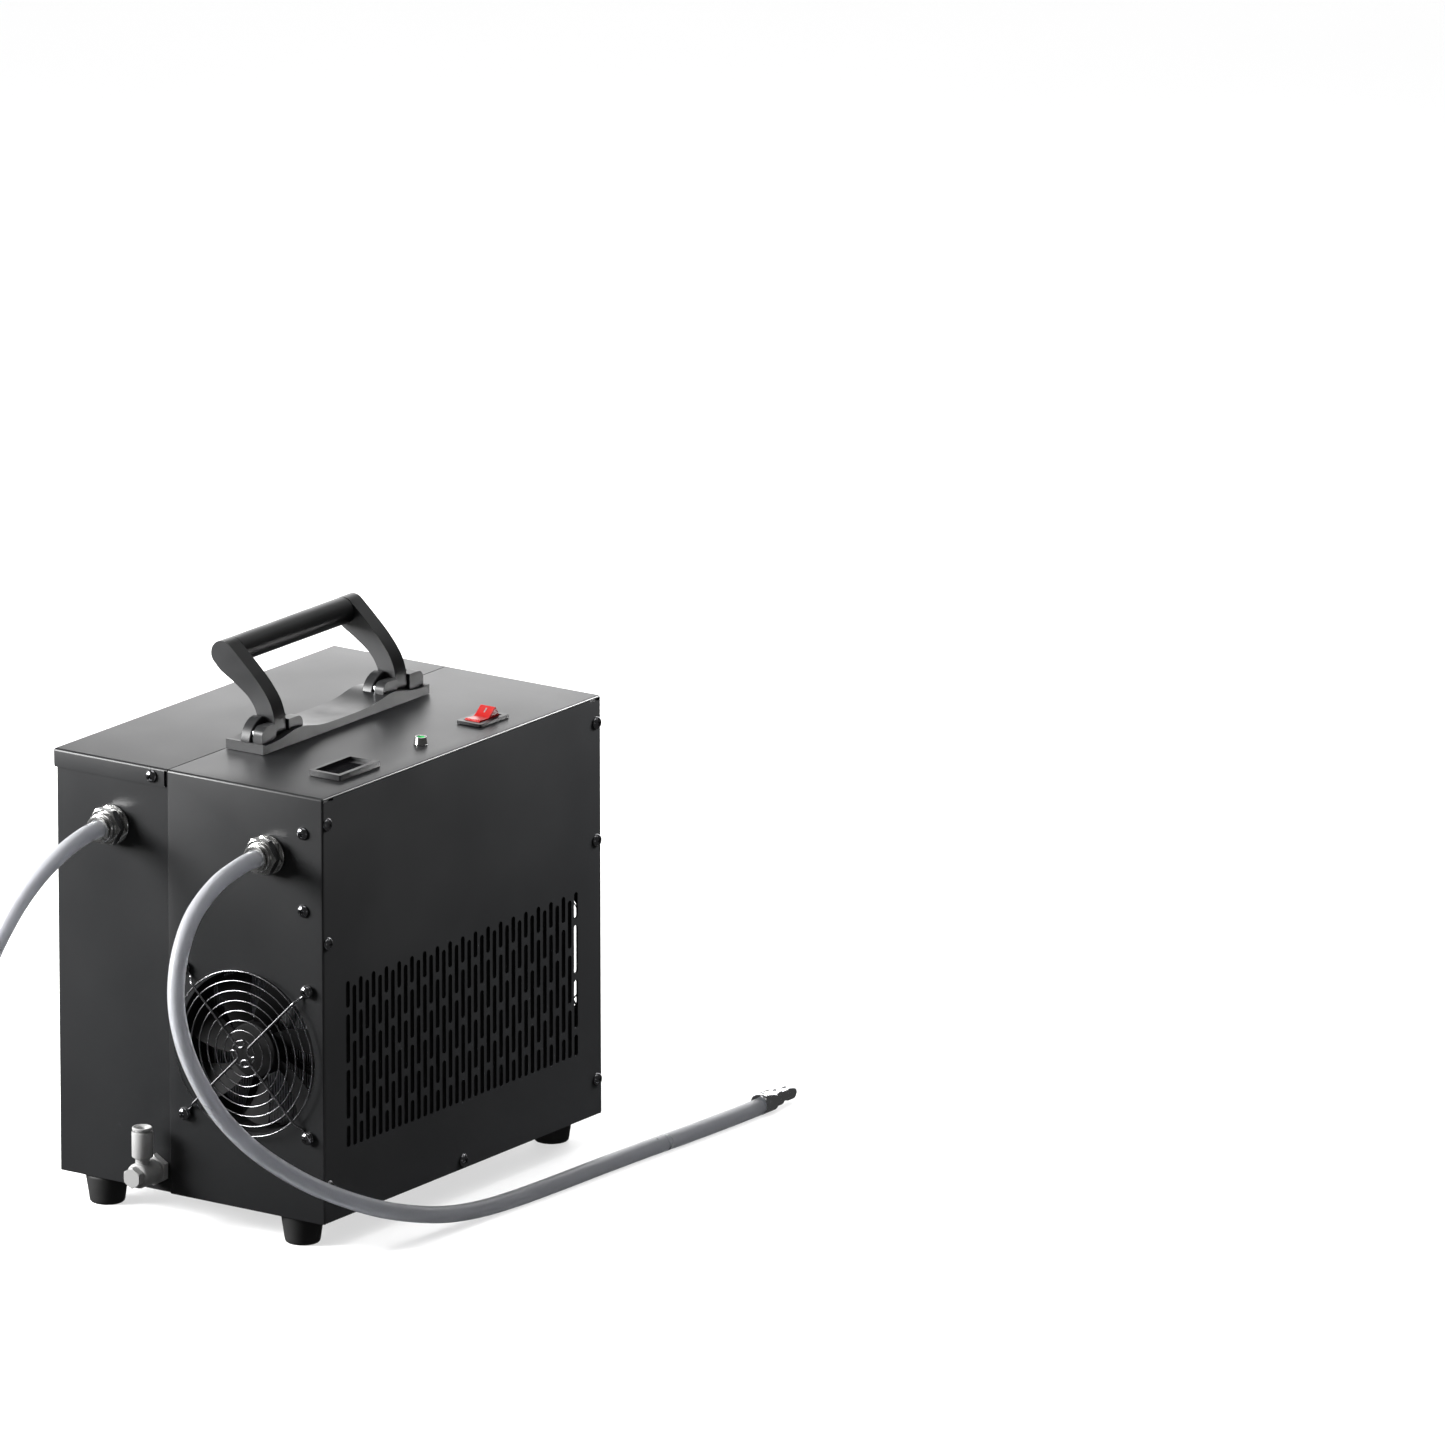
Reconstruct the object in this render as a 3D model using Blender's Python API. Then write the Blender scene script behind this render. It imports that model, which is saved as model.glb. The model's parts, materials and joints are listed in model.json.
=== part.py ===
"""Refrigerated air dryer: a sheet-metal cabinet on rubber feet with a carry handle on top.

Cabinet coordinates, in millimetres, are used throughout: a runs along the cabinet from its fan
end, b runs back from the grille face, and c runs up from the cabinet's underside. spot() turns
them into world metres, with the origin under the middle of the whole object, on the floor.
"""
import math

import bmesh
import bpy
from mathutils import Matrix, Vector

MM = 0.001
GAP = 0.3                      # clearance between parts that touch

# Cabinet
LENGTH = 330.0
WIDTH = 230.0
HEIGHT = 304.5
SHEET = 1.5                    # thickness of the painted steel sheet
CORNER = 2.0                   # outside radius of the folded edges
SEAM = 132.0                   # depth of the front housing
LID_DEPTH = 13.0               # height of the rear lid's side flange
FOOT_HEIGHT = 21.0
FOOT_INSET = (17.0, 31.0)
ORIGIN_SHIFT = (-154.0, -115.65)

# Fan and its wire guards
FAN_CENTRE = (65.0, 113.2)
FAN_PITCH = 105.0              # between the guard's screws, as on any 120 mm fan
FAN_SIZE = 119.0
FAN_DEPTH = 25.0
FAN_BORE = 115.0
WIRE = 0.9                     # radius of the guard's wire
RINGS = 8
RING_PITCH = 7.05
RING_FIRST = 9.4

# Grille
SLOT_COLUMNS = 37
SLOT_FIRST = 28.9
SLOT_PITCH = 7.52
SLOT_WIDTH = 4.4
SLOT_BRIDGE = 4.7
SLOT_LONG = 35.2
SLOT_LOW = 48.8
SLOT_HIGH = 168.2
SLOT_SHORT = 15.8

# Air fittings and their hoses
INLET = (45.5, 258.4)
OUTLET = (179.5, 258.0)
HOSE = 12.0                    # outside diameter of the hoses
COLLAR_FACE = -17.2            # where a hose leaves its fitting

# Drain fitting
DRAIN = (144.3, 15.6)
DRAIN_TUBE = -15.3

# Carry handle, with c measured from the top panel
ARM_WIDTH = 13.0
ARM_CENTRES = (93.8, 236.2)
PIVOT = (111.0, 12.0)
GRIP_CENTRE = (148.6, 60.2)
GRIP_RADIUS = 9.5
BASE_SPAN = (67.0, 263.0)
BASE_DEPTH = (99.0, 131.0)

# Controls on the top panel
DISPLAY = (43.5, 91.0, 16.5, 43.0)
LED = (153.0, 27.0)
SWITCH = (210.5, 244.9, 17.3, 38.3)
ROCKER_TILT = 17.0


def spot(a, b, c):
    """World position in metres of a point in cabinet coordinates."""
    return Vector((a + ORIGIN_SHIFT[0], b + ORIGIN_SHIFT[1], c + FOOT_HEIGHT)) * MM


def paint(name, colour, roughness, metallic=0.0):
    """A plain Principled material, made once for each name."""
    material = bpy.data.materials.get(name)
    if material is None:
        material = bpy.data.materials.new(name)
        material.use_nodes = True
        shader = material.node_tree.nodes["Principled BSDF"]
        shader.inputs["Base Color"].default_value = (*colour, 1.0)
        shader.inputs["Roughness"].default_value = roughness
        shader.inputs["Metallic"].default_value = metallic
        material.diffuse_color = (*colour, 1.0)
    return material


def black_paint():
    return paint("black_powder_coat", (0.035, 0.037, 0.040), 0.5, 0.1)


def black_plastic():
    return paint("black_plastic", (0.03, 0.03, 0.033), 0.4)


def chrome():
    return paint("chrome", (0.75, 0.76, 0.78), 0.15, 1.0)


def white_plastic():
    return paint("white_plastic", (0.78, 0.78, 0.77), 0.4)


def copper():
    return paint("copper", (0.72, 0.38, 0.22), 0.3, 1.0)


def rubber():
    return paint("rubber", (0.03, 0.03, 0.03), 0.8)


def zinc():
    return paint("zinc_plate", (0.55, 0.56, 0.57), 0.45, 0.9)


def add(name, shape, material, at=None, smooth=35.0):
    """Make an object from a bmesh in cabinet millimetres, with its origin at the point at."""
    centre = Vector(at) if at else Vector((LENGTH / 2, WIDTH / 2, 0.0))
    bmesh.ops.translate(shape, verts=shape.verts[:], vec=-centre)
    bmesh.ops.scale(shape, verts=shape.verts[:], vec=(MM, MM, MM))
    bmesh.ops.recalc_face_normals(shape, faces=shape.faces[:])
    mesh = bpy.data.meshes.new(name)
    shape.to_mesh(mesh)
    shape.free()
    mesh.materials.append(material)
    mesh.shade_smooth()
    mesh.set_sharp_from_angle(angle=math.radians(smooth))
    thing = bpy.data.objects.new(name, mesh)
    thing.location = spot(*centre)
    bpy.context.scene.collection.objects.link(thing)
    return thing


def combine(thing, shape, operation):
    """Cut shape from thing, or join it on, with an exact Boolean."""
    tool = add(thing.name + "_tool", shape, thing.data.materials[0])
    tool.hide_render = True
    tool.display_type = "WIRE"
    modifier = thing.modifiers.new("Boolean", "BOOLEAN")
    modifier.operation = operation
    modifier.solver = "EXACT"
    modifier.object = tool
    return thing


def cut(thing, *shapes):
    for shape in shapes:
        combine(thing, shape, "DIFFERENCE")
    return thing


def join(thing, *shapes):
    for shape in shapes:
        combine(thing, shape, "UNION")
    return thing


def block(a0, a1, b0, b1, c0, c1, shape=None):
    """A box, in a new bmesh or added to one."""
    shape = shape or bmesh.new()
    size = Vector((a1 - a0, b1 - b0, c1 - c0))
    middle = Vector((a0 + a1, b0 + b1, c0 + c1)) / 2
    placed = Matrix.Translation(middle) @ Matrix.Diagonal((*size, 1.0))
    bmesh.ops.create_cube(shape, size=1.0, matrix=placed)
    return shape


def on_axis(axis, along, u, v):
    """A point whose place along the axis is along, and u and v on the plane square to it."""
    if axis == "a":
        return Vector((along, u, v))
    if axis == "b":
        return Vector((u, along, v))
    return Vector((u, v, along))


def sheet(axis, low, high, outline, holes=()):
    """A flat plate between low and high on an axis, from an outline and holes in (u, v)."""
    shape = bmesh.new()
    edges = []
    for loop in (outline, *holes):
        verts = [shape.verts.new(on_axis(axis, low, u, v)) for u, v in loop]
        edges += [shape.edges.new((verts[i - 1], verts[i])) for i in range(len(verts))]
    bmesh.ops.triangle_fill(shape, use_beauty=True, edges=edges)
    grown = bmesh.ops.extrude_face_region(shape, geom=shape.faces[:])
    moved = [item for item in grown["geom"] if isinstance(item, bmesh.types.BMVert)]
    bmesh.ops.translate(shape, verts=moved, vec=on_axis(axis, high - low, 0.0, 0.0))
    return shape


def turned(axis, u, v, profile, segments=24, shape=None):
    """A solid turned about an axis through (u, v), from (radius, along) points.

    A profile that starts and ends on the axis makes a solid one, and any other is a closed loop.
    """
    shape = shape or bmesh.new()
    rings = []
    for radius, along in profile:
        if radius < 1e-6:
            rings.append([shape.verts.new(on_axis(axis, along, u, v))])
            continue
        ring = []
        for i in range(segments):
            angle = 2 * math.pi * (i + 0.5) / segments
            ring.append(shape.verts.new(on_axis(
                axis, along, u + radius * math.cos(angle), v + radius * math.sin(angle))))
        rings.append(ring)
    count = len(rings) if len(rings[0]) > 1 else len(rings) - 1
    for k in range(count):
        here, there = rings[k], rings[(k + 1) % len(rings)]
        for i in range(segments):
            j = (i + 1) % segments
            if len(here) == 1:
                shape.faces.new((here[0], there[i], there[j]))
            elif len(there) == 1:
                shape.faces.new((here[i], here[j], there[0]))
            else:
                shape.faces.new((here[i], here[j], there[j], there[i]))
    return shape


def rod(axis, u, v, radius, low, high, segments=24, shape=None):
    return turned(axis, u, v, [(0, low), (radius, low), (radius, high), (0, high)], segments, shape)


def circle(u, v, radius, segments=24, start=0.5):
    turn = 2 * math.pi / segments
    return [(u + radius * math.cos(turn * (i + start)), v + radius * math.sin(turn * (i + start)))
            for i in range(segments)]


def hexagon(u, v, across_flats, turn=0.0):
    return circle(u, v, across_flats / math.sqrt(3), 6, turn)


def rectangle(u0, u1, v0, v1):
    return [(u0, v0), (u1, v0), (u1, v1), (u0, v1)]


def arc(u, v, radius, start, end, steps):
    """Points on an arc, with its angles in degrees."""
    angles = [math.radians(start + (end - start) * i / steps) for i in range(steps + 1)]
    return [(u + radius * math.cos(t), v + radius * math.sin(t)) for t in angles]


def smooth_path(points, step):
    """Points about one step apart on a smooth curve through the given points."""
    points = [Vector(p) for p in points]
    ends = [2 * points[0] - points[1]] + points + [2 * points[-1] - points[-2]]
    fine = []
    for i in range(1, len(ends) - 2):
        p0, p1, p2, p3 = ends[i - 1:i + 3]
        for k in range(16):
            t = k / 16
            fine.append(0.5 * (2 * p1 + (p2 - p0) * t + (2 * p0 - 5 * p1 + 4 * p2 - p3) * t ** 2
                               + (3 * p1 - p0 - 3 * p2 + p3) * t ** 3))
    fine.append(points[-1])
    lengths = [0.0]
    for i in range(1, len(fine)):
        lengths.append(lengths[-1] + (fine[i] - fine[i - 1]).length)
    count = max(2, round(lengths[-1] / step))
    result = []
    k = 0
    for i in range(count + 1):
        wanted = lengths[-1] * i / count
        while k < len(fine) - 2 and lengths[k + 1] < wanted:
            k += 1
        part = (wanted - lengths[k]) / max(1e-9, lengths[k + 1] - lengths[k])
        result.append(fine[k].lerp(fine[k + 1], min(1.0, part)))
    return result


def tube(name, points, diameter, material, resolution=2, step=None):
    """A round tube along a smooth curve, as a bevelled curve with filled caps."""
    path = smooth_path(points, step or 2.5 * diameter)
    curve = bpy.data.curves.new(name, "CURVE")
    curve.dimensions = "3D"
    curve.bevel_depth = diameter / 2 * MM
    curve.bevel_resolution = resolution
    curve.use_fill_caps = True
    spline = curve.splines.new("POLY")
    spline.points.add(len(path) - 1)
    for point, place in zip(spline.points, path):
        point.co = (*spot(*place), 1.0)
    curve.materials.append(material)
    thing = bpy.data.objects.new(name, curve)
    bpy.context.scene.collection.objects.link(thing)
    return thing


# ---------------------------------------------------------------- cabinet

def front_shell():
    """Top and both ends of the front half, with flanges that the grille screws to."""
    inside = LENGTH - SHEET
    outline = [(0, 0), (LENGTH, 0)]
    outline += arc(LENGTH - CORNER, HEIGHT - CORNER, CORNER, 0, 90, 3)
    outline += arc(CORNER, HEIGHT - CORNER, CORNER, 90, 180, 3)
    shell = add("front_shell", sheet("b", 0, SEAM - GAP / 2, outline), black_paint())
    hollow = block(SHEET, inside, -1, SHEET + GAP, -1, HEIGHT - SHEET)
    between_flanges = block(13.5, LENGTH - 13.5, 1, 4, -1, HEIGHT - 13.5)
    compartment = block(SHEET, inside, 2 * SHEET + GAP, SEAM + 1, -1, HEIGHT - SHEET)
    cut(shell, hollow, between_flanges, compartment)
    b, c = FAN_CENTRE
    half = FAN_PITCH / 2
    openings = rod("a", b, c, FAN_BORE / 2, -1, 3, 36)
    rod("a", b, c, FAN_BORE / 2, LENGTH - 3, LENGTH + 1, 36, openings)
    rod("a", *INLET, 7.0, -1, 3, 20, openings)
    rod("c", *LED, 4.3, HEIGHT - 3, HEIGHT + 1, 16, openings)
    for db in (-half, half):
        for dc in (-half, half):
            rod("a", b + db, c + dc, 2.3, -1, 3, 10, openings)
    a0, a1, b0, b1 = DISPLAY
    block(a0 + 2, a1 - 2, b0 + 2, b1 - 2, HEIGHT - 3, HEIGHT + 1, openings)
    a0, a1, b0, b1 = SWITCH
    block(a0 + 2.4, a1 - 2.4, b0 + 2, b1 - 2, HEIGHT - 3, HEIGHT + 1, openings)
    return cut(shell, openings)


def slot_rows(column):
    """Lower and upper ends of one column's slots; neighbouring columns are staggered."""
    if column % 2:
        starts = [SLOT_LOW + k * (SLOT_LONG + SLOT_BRIDGE) for k in range(3)]
        return [(start, start + SLOT_LONG) for start in starts]
    rows = [(SLOT_LOW, SLOT_LOW + SLOT_SHORT)]
    while rows[-1][1] < SLOT_HIGH:
        start = rows[-1][1] + SLOT_BRIDGE
        rows.append((start, min(SLOT_HIGH, start + SLOT_LONG)))
    return rows


def grille_panel():
    """The flat front panel, with staggered columns of upright slots."""
    low, high, notch = SHEET + GAP, HEIGHT - SHEET - GAP, 1.6
    far, reach = LENGTH - low, 11.0
    outline = [(low, GAP), (far, GAP), (far, high - notch), (far - reach, high - notch),
               (far - reach, high), (low + reach, high), (low + reach, high - notch),
               (low, high - notch)]
    holes = []
    for column in range(SLOT_COLUMNS):
        a = SLOT_FIRST + column * SLOT_PITCH
        for bottom, top in slot_rows(column):
            holes.append(rectangle(a - SLOT_WIDTH / 2, a + SLOT_WIDTH / 2, bottom, top))
    return add("grille_panel", sheet("b", 0, SHEET, outline, holes), black_paint())


def rear_shell():
    """Both ends and the back of the rear half, in one folded sheet."""
    out, back = SHEET, WIDTH - SHEET
    front = SEAM + GAP / 2
    outline = [(out, front), (out, back), (LENGTH - out, back), (LENGTH - out, front),
               (LENGTH - out - SHEET, front), (LENGTH - out - SHEET, back - SHEET),
               (out + SHEET, back - SHEET), (out + SHEET, front)]
    shell = add("rear_shell", sheet("c", GAP, HEIGHT - SHEET - GAP, outline), black_paint())
    openings = rod("a", *OUTLET, 7.0, 0, 5, 20)
    rod("a", *DRAIN, 4.2, 0, 5, 16, openings)
    block(271.5, 298.5, back - 3, back + 1, 30, 50, openings)
    for row in range(2):
        for column in range(8):
            a = 84 + column * 13
            block(a, a + 5, back - 3, back + 1, 50 + row * 40, 84 + row * 40, openings)
    return cut(shell, openings)


def rear_lid():
    """Shallow cap over the rear half, held by a screw in each end flange."""
    low = HEIGHT - LID_DEPTH
    outline = [(0, low), (LENGTH, low)]
    outline += arc(LENGTH - CORNER, HEIGHT - CORNER, CORNER, 0, 90, 3)
    outline += arc(CORNER, HEIGHT - CORNER, CORNER, 90, 180, 3)
    lid = add("rear_lid", sheet("b", SEAM + GAP / 2, WIDTH, outline), black_paint())
    wall = SHEET - GAP
    hollow = block(wall, LENGTH - wall, SEAM - 1, WIDTH - wall, low - 1, HEIGHT - wall)
    reliefs = block(-1, wall + 0.5, SEAM - 1, SEAM + 2.6, low - 1, HEIGHT - wall)
    block(LENGTH - wall - 0.5, LENGTH + 1, SEAM - 1, SEAM + 2.6, low - 1, HEIGHT - wall, reliefs)
    return cut(lid, hollow, reliefs)


def base_pan():
    """Floor tray that carries everything inside."""
    side = 2 * SHEET + GAP
    a1, b0, b1 = LENGTH - side, 2 * SHEET + 2 * GAP, WIDTH - 2 * SHEET - GAP
    pan = add("base_pan", block(side, a1, b0, b1, GAP, 13.5), zinc())
    return cut(pan, block(side + SHEET, a1 - SHEET, b0 + SHEET, b1 - SHEET, GAP + SHEET, 20),
               block(side - 1, side + SHEET + 1, DRAIN[0] - 6, DRAIN[0] + 6, 8, 20))


def bulkhead():
    """Partition between the cooling air in front and the cold parts behind."""
    outline = rectangle(2 * SHEET + GAP, LENGTH - 2 * SHEET - GAP, 14, HEIGHT - SHEET - GAP)
    holes = [circle(80, 258.4, 9, 12), circle(160, 105, 13, 12), circle(240, 200, 8, 12)]
    return add("inner_bulkhead", sheet("b", SEAM + 1.2, SEAM + 2.4, outline, holes), zinc())


def feet():
    """Four tapered rubber feet, each hollow for its screw."""
    profile = [(0, -GAP), (14.2, -GAP), (15, -1.2), (12.3, -FOOT_HEIGHT + 1), (11.3, -FOOT_HEIGHT),
               (5, -FOOT_HEIGHT), (4.5, -FOOT_HEIGHT + 8), (0, -FOOT_HEIGHT + 8)]
    for end, a in (("left", FOOT_INSET[0]), ("right", LENGTH - FOOT_INSET[0])):
        for side, b in (("front", FOOT_INSET[1]), ("rear", WIDTH - FOOT_INSET[1])):
            add(f"foot_{side}_{end}", turned("c", a, b, profile, 16), rubber(), at=(a, b, 0))


# ---------------------------------------------------------------- carry handle

def base_height(a):
    """Height of the handle base's side walls: low at the ends and the middle, high between."""
    off = abs(a - LENGTH / 2)
    if off > 94:
        return 7.2
    swell = math.exp(-((off - 55) / 19) ** 2)
    return 6.2 + 4.6 * swell


def cheek(arm, side):
    """One of the two rounded lugs beside an arm's foot: side is -1 or +1."""
    inner = arm + side * (ARM_WIDTH / 2 + 1.0)
    outer = arm + side * (ARM_WIDTH / 2 + 17.3)
    top = HEIGHT
    corner = outer - side * 6
    turn = (0, 90) if side > 0 else (180, 90)
    block_face = [(inner, top + 3), (outer, top + 3)]
    block_face += arc(corner, top + 12, 6, *turn, 4)
    block_face += [(inner, top + 18)]
    rib_face = [(inner, top + 3), (outer, top + 3), (outer, top + 6)]
    rib_face += [(inner + side * 16.3 * math.cos(t), top + 6 + 16.0 * math.sin(t))
                 for t in (math.radians(15 * k) for k in range(1, 6))]
    rib_face += [(inner, top + 22)]
    web_face = [(inner, top + 3), (outer - side * 2, top + 3), (outer - side * 2, top + 10),
                (outer - side * 6, top + 15.4), (inner, top + 15.4)]
    return (sheet("b", 102, 109.6, block_face), sheet("b", 112.4, 121, rib_face),
            sheet("b", 109, 113, web_face))


def handle_base():
    a0, a1 = BASE_SPAN
    steps = 18
    tops = [(a0 + (a1 - a0) * i / steps, HEIGHT + base_height(a0 + (a1 - a0) * i / steps))
            for i in range(steps + 1)]
    outline = [(a0, HEIGHT + GAP), (a1, HEIGHT + GAP)] + tops[::-1]
    b0, b1 = BASE_DEPTH
    base = add("handle_base", sheet("b", b0, b1, outline), black_plastic())
    cut(base, block(a0 + 3.2, a1 - 3.2, b0 + 2.4, b1 - 2.4, HEIGHT + 4, HEIGHT + 30))
    pin_holes = bmesh.new()
    for arm in ARM_CENTRES:
        join(base, *cheek(arm, -1), *cheek(arm, 1))
        rod("a", PIVOT[0], HEIGHT + PIVOT[1], 2.8, arm - 21.5, arm + 21.5, 12, pin_holes)
    return cut(base, pin_holes)


def arm_outline():
    """The blade-shaped side of an arm, from its foot round the head and back."""
    top = HEIGHT
    foot = arc(PIVOT[0], top + PIVOT[1], 7.4, 180, 360, 8)
    head = arc(GRIP_CENTRE[0], top + GRIP_CENTRE[1], GRIP_RADIUS + 0.1, -35, 125, 9)
    rear = [(PIVOT[0] + 7.4, PIVOT[1]), (119.5, 22.6), (126.0, 32.6), (138.0, 41.4),
            (150.0, 48.6), (156.4, 54.8)]
    front = [(143.1, 68.1), (130.8, 57.2), (118.6, 45.4), (109.0, 33.2), (104.6, 22.0),
             (PIVOT[0] - 7.4, PIVOT[1])]
    rear = [(p.x, p.y + top) for p in smooth_path([(u, v, 0) for u, v in rear], 4.5)]
    front = [(p.x, p.y + top) for p in smooth_path([(u, v, 0) for u, v in front], 4.5)]
    return foot + rear[1:-1] + head + front[1:-1]


def carry_handle():
    """Two blade arms on hinge pins with a round grip between them."""
    axis = (LENGTH / 2, PIVOT[0], HEIGHT + PIVOT[1])
    for name, a in zip(("left", "right"), ARM_CENTRES):
        half = ARM_WIDTH / 2
        bore = circle(PIVOT[0], HEIGHT + PIVOT[1], 2.8, 12)
        add(f"handle_arm_{name}", sheet("a", a - half, a + half, arm_outline(), [bore]),
            black_plastic(), at=axis)
        add(f"handle_pin_{name}",
            rod("a", PIVOT[0], HEIGHT + PIVOT[1], 2.5, a - 21.2, a + 21.2, 12), chrome(),
            at=axis)
    low = ARM_CENTRES[0] + ARM_WIDTH / 2 + GAP
    high = ARM_CENTRES[1] - ARM_WIDTH / 2 - GAP
    add("handle_grip", rod("a", GRIP_CENTRE[0], HEIGHT + GRIP_CENTRE[1], GRIP_RADIUS, low, high, 28),
        black_plastic(), at=axis)


# ---------------------------------------------------------------- controls

def display():
    a0, a1, b0, b1 = DISPLAY
    top = HEIGHT
    rim = 3.2
    bezel = sheet("c", top + GAP, top + 4.3, rectangle(a0, a1, b0, b1),
                  [rectangle(a0 + rim, a1 - rim, b0 + rim, b1 - rim)])
    add("display_bezel", bezel, black_plastic())
    body = add("display_housing", block(a0 + rim + GAP, a1 - rim - GAP, b0 + rim + GAP,
                                        b1 - rim - GAP, top - 16, top + 1.2), black_plastic())
    body.data.materials[0] = paint("display_housing", (0.02, 0.02, 0.022), 0.5)
    add("display_window", block(a0 + rim + GAP, a1 - rim - GAP, b0 + rim + GAP, b1 - rim - GAP,
                                top + 1.5, top + 2.1),
        paint("dark_glass", (0.01, 0.01, 0.012), 0.08))


def indicator():
    a, b = LED
    top = HEIGHT
    profile = [(5.0, top + GAP), (4.9, top + 1.0), (4.0, top + 5.6), (3.3, top + 5.6),
               (3.3, top - 10), (4.0, top - 10), (4.0, top + GAP)]
    add("led_bezel", turned("c", a, b, profile, 14), chrome(), at=(a, b, top))
    dome = [(0, top - 9), (3.0, top - 9), (3.0, top + 4.6), (1.9, top + 5.2), (0, top + 5.4)]
    add("led_lens", turned("c", a, b, dome, 16), paint("green_lens", (0.08, 0.75, 0.22), 0.15),
        at=(a, b, top))


def switch():
    a0, a1, b0, b1 = SWITCH
    top = HEIGHT
    a, b = (a0 + a1) / 2, (b0 + b1) / 2
    flange = block(a0, a1, b0, b1, top + GAP, top + 2.5)
    housing = add("switch_housing", flange, black_plastic())
    join(housing, block(a - 14.7, a + 14.7, b - 8.2, b + 8.2, top - 18, top + 1))
    cut(housing, block(a - 13.2, a + 13.2, b - 6.9, b + 6.9, top - 14, top + 5))
    half_face = [(0, 8.0), (3.4, 8.4), (9.0, 10.7), (12.1, 3.0), (12.1, -3.0), (0, -7.0)]
    face = half_face + [(-u, v) for u, v in half_face[-2:0:-1]]
    tilt = math.radians(ROCKER_TILT)
    pivot = (a, top - 3.0)
    face = [(pivot[0] + u * math.cos(tilt) - v * math.sin(tilt),
             pivot[1] + u * math.sin(tilt) + v * math.cos(tilt)) for u, v in face]
    add("switch_rocker", sheet("b", b - 6.4, b + 6.4, face), paint("red_plastic",
        (0.75, 0.03, 0.03), 0.3), at=(a, b, pivot[1]))


def power_inlet():
    """Three-pin mains socket in the back, low down."""
    back = WIDTH - SHEET
    socket = add("power_inlet", block(260, 310, back + GAP, back + 2.8, 28, 52), black_plastic())
    join(socket, block(272, 298, back - 16, back + 1, 30.5, 49.5))
    cut(socket, block(273.5, 296.5, back - 14, back + 5, 32, 48))
    pins = block(284, 286, back - 15, back - 1, 41, 45)
    block(277.5, 279.5, back - 15, back - 1, 35, 39, pins)
    block(290.5, 292.5, back - 15, back - 1, 35, 39, pins)
    return join(socket, pins)


# ---------------------------------------------------------------- fan and guards

def fan_frame():
    b, c = FAN_CENTRE
    half, hole = FAN_SIZE / 2, FAN_PITCH / 2
    front = SHEET + GAP
    corners = [circle(b + u, c + v, 2.3, 8) for u in (-hole, hole) for v in (-hole, hole)]
    outline = []
    for u, v, start in ((1, 1, 0), (-1, 1, 90), (-1, -1, 180), (1, -1, 270)):
        outline += arc(b + u * (half - 6), c + v * (half - 6), 6, start, start + 90, 3)
    rim = sheet("a", front, front + FAN_DEPTH, outline, [circle(b, c, FAN_BORE / 2 + 0.2, 40)]
                + corners)
    frame = add("fan_frame", rim, black_plastic(), at=(front, b, c))
    deep = front + FAN_DEPTH
    ribs = bmesh.new()
    for quarter in range(4):
        rib = block(deep - 4, deep - 0.5, 15, FAN_BORE / 2 + 0.8, -2, 2)
        turn = Matrix.Rotation(math.radians(20 + 90 * quarter), 3, "X")
        bmesh.ops.rotate(rib, verts=rib.verts[:], cent=(0, 0, 0), matrix=turn)
        bmesh.ops.translate(rib, verts=rib.verts[:], vec=(0, b, c))
        mesh = bpy.data.meshes.new("rib")
        rib.to_mesh(mesh)
        rib.free()
        ribs.from_mesh(mesh)
        bpy.data.meshes.remove(mesh)
    return join(frame, ribs, rod("a", b, c, 18, deep - 5, deep - 0.2, 20))


def fan_rotor():
    """Hub and seven twisted blades, on the fan's axis."""
    b, c = FAN_CENTRE
    low, high = SHEET + 3.5, SHEET + GAP + FAN_DEPTH - 6
    hub = [(0, low), (18, low), (19.5, low + 1.5), (19.5, high), (0, high)]
    rotor = add("fan_rotor", turned("a", b, c, hub, 20), black_plastic(), at=(low, b, c))
    blades = bmesh.new()
    for k in range(7):
        base = 2 * math.pi * k / 7
        rows = []
        for j in range(4):
            radius = 18.6 + (54.5 - 18.6) * j / 3
            pitch = math.radians(48 - 22 * j / 3)
            sweep = base + 0.28 * j / 3
            row = []
            for i in range(4):
                chord = (i / 3 - 0.5) * (17 + 13 * j / 3)
                along = (low + high) / 2 + 0.5 + chord * math.sin(pitch) * 0.62
                angle = sweep + chord * math.cos(pitch) / radius
                for side in (-0.6, 0.6):
                    at = along + side
                    row.append(blades.verts.new((at, b + radius * math.cos(angle),
                                                 c + radius * math.sin(angle))))
            rows.append(row)
        skin_blade(blades, rows)
    return join(rotor, blades)


def skin_blade(shape, rows):
    """Close one blade: each row holds pairs of points, one on each side."""
    last = len(rows) - 1
    width = len(rows[0]) // 2
    for j in range(last):
        near, far = rows[j], rows[j + 1]
        for i in range(width - 1):
            for s in (0, 1):
                shape.faces.new((near[2 * i + s], near[2 * i + 2 + s], far[2 * i + 2 + s],
                                 far[2 * i + s]))
        for i in (0, width - 1):
            shape.faces.new((near[2 * i], far[2 * i], far[2 * i + 1], near[2 * i + 1]))
    for row in (rows[0], rows[last]):
        for i in range(width - 1):
            shape.faces.new((row[2 * i], row[2 * i + 1], row[2 * i + 3], row[2 * i + 2]))


def hoop(shape, centre, radius, wire, segments, sides=3):
    """A closed ring of wire, square to the cabinet's length."""
    rings = []
    for i in range(segments):
        angle = 2 * math.pi * i / segments
        ring = []
        for k in range(sides):
            turn = 2 * math.pi * (k + 0.5) / sides
            reach = radius + wire * math.cos(turn)
            ring.append(shape.verts.new((centre[0] + wire * math.sin(turn),
                                         centre[1] + reach * math.cos(angle),
                                         centre[2] + reach * math.sin(angle))))
        rings.append(ring)
    for i in range(segments):
        for k in range(sides):
            shape.faces.new((rings[i - 1][k - 1], rings[i - 1][k], rings[i][k],
                             rings[i][k - 1]))


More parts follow.
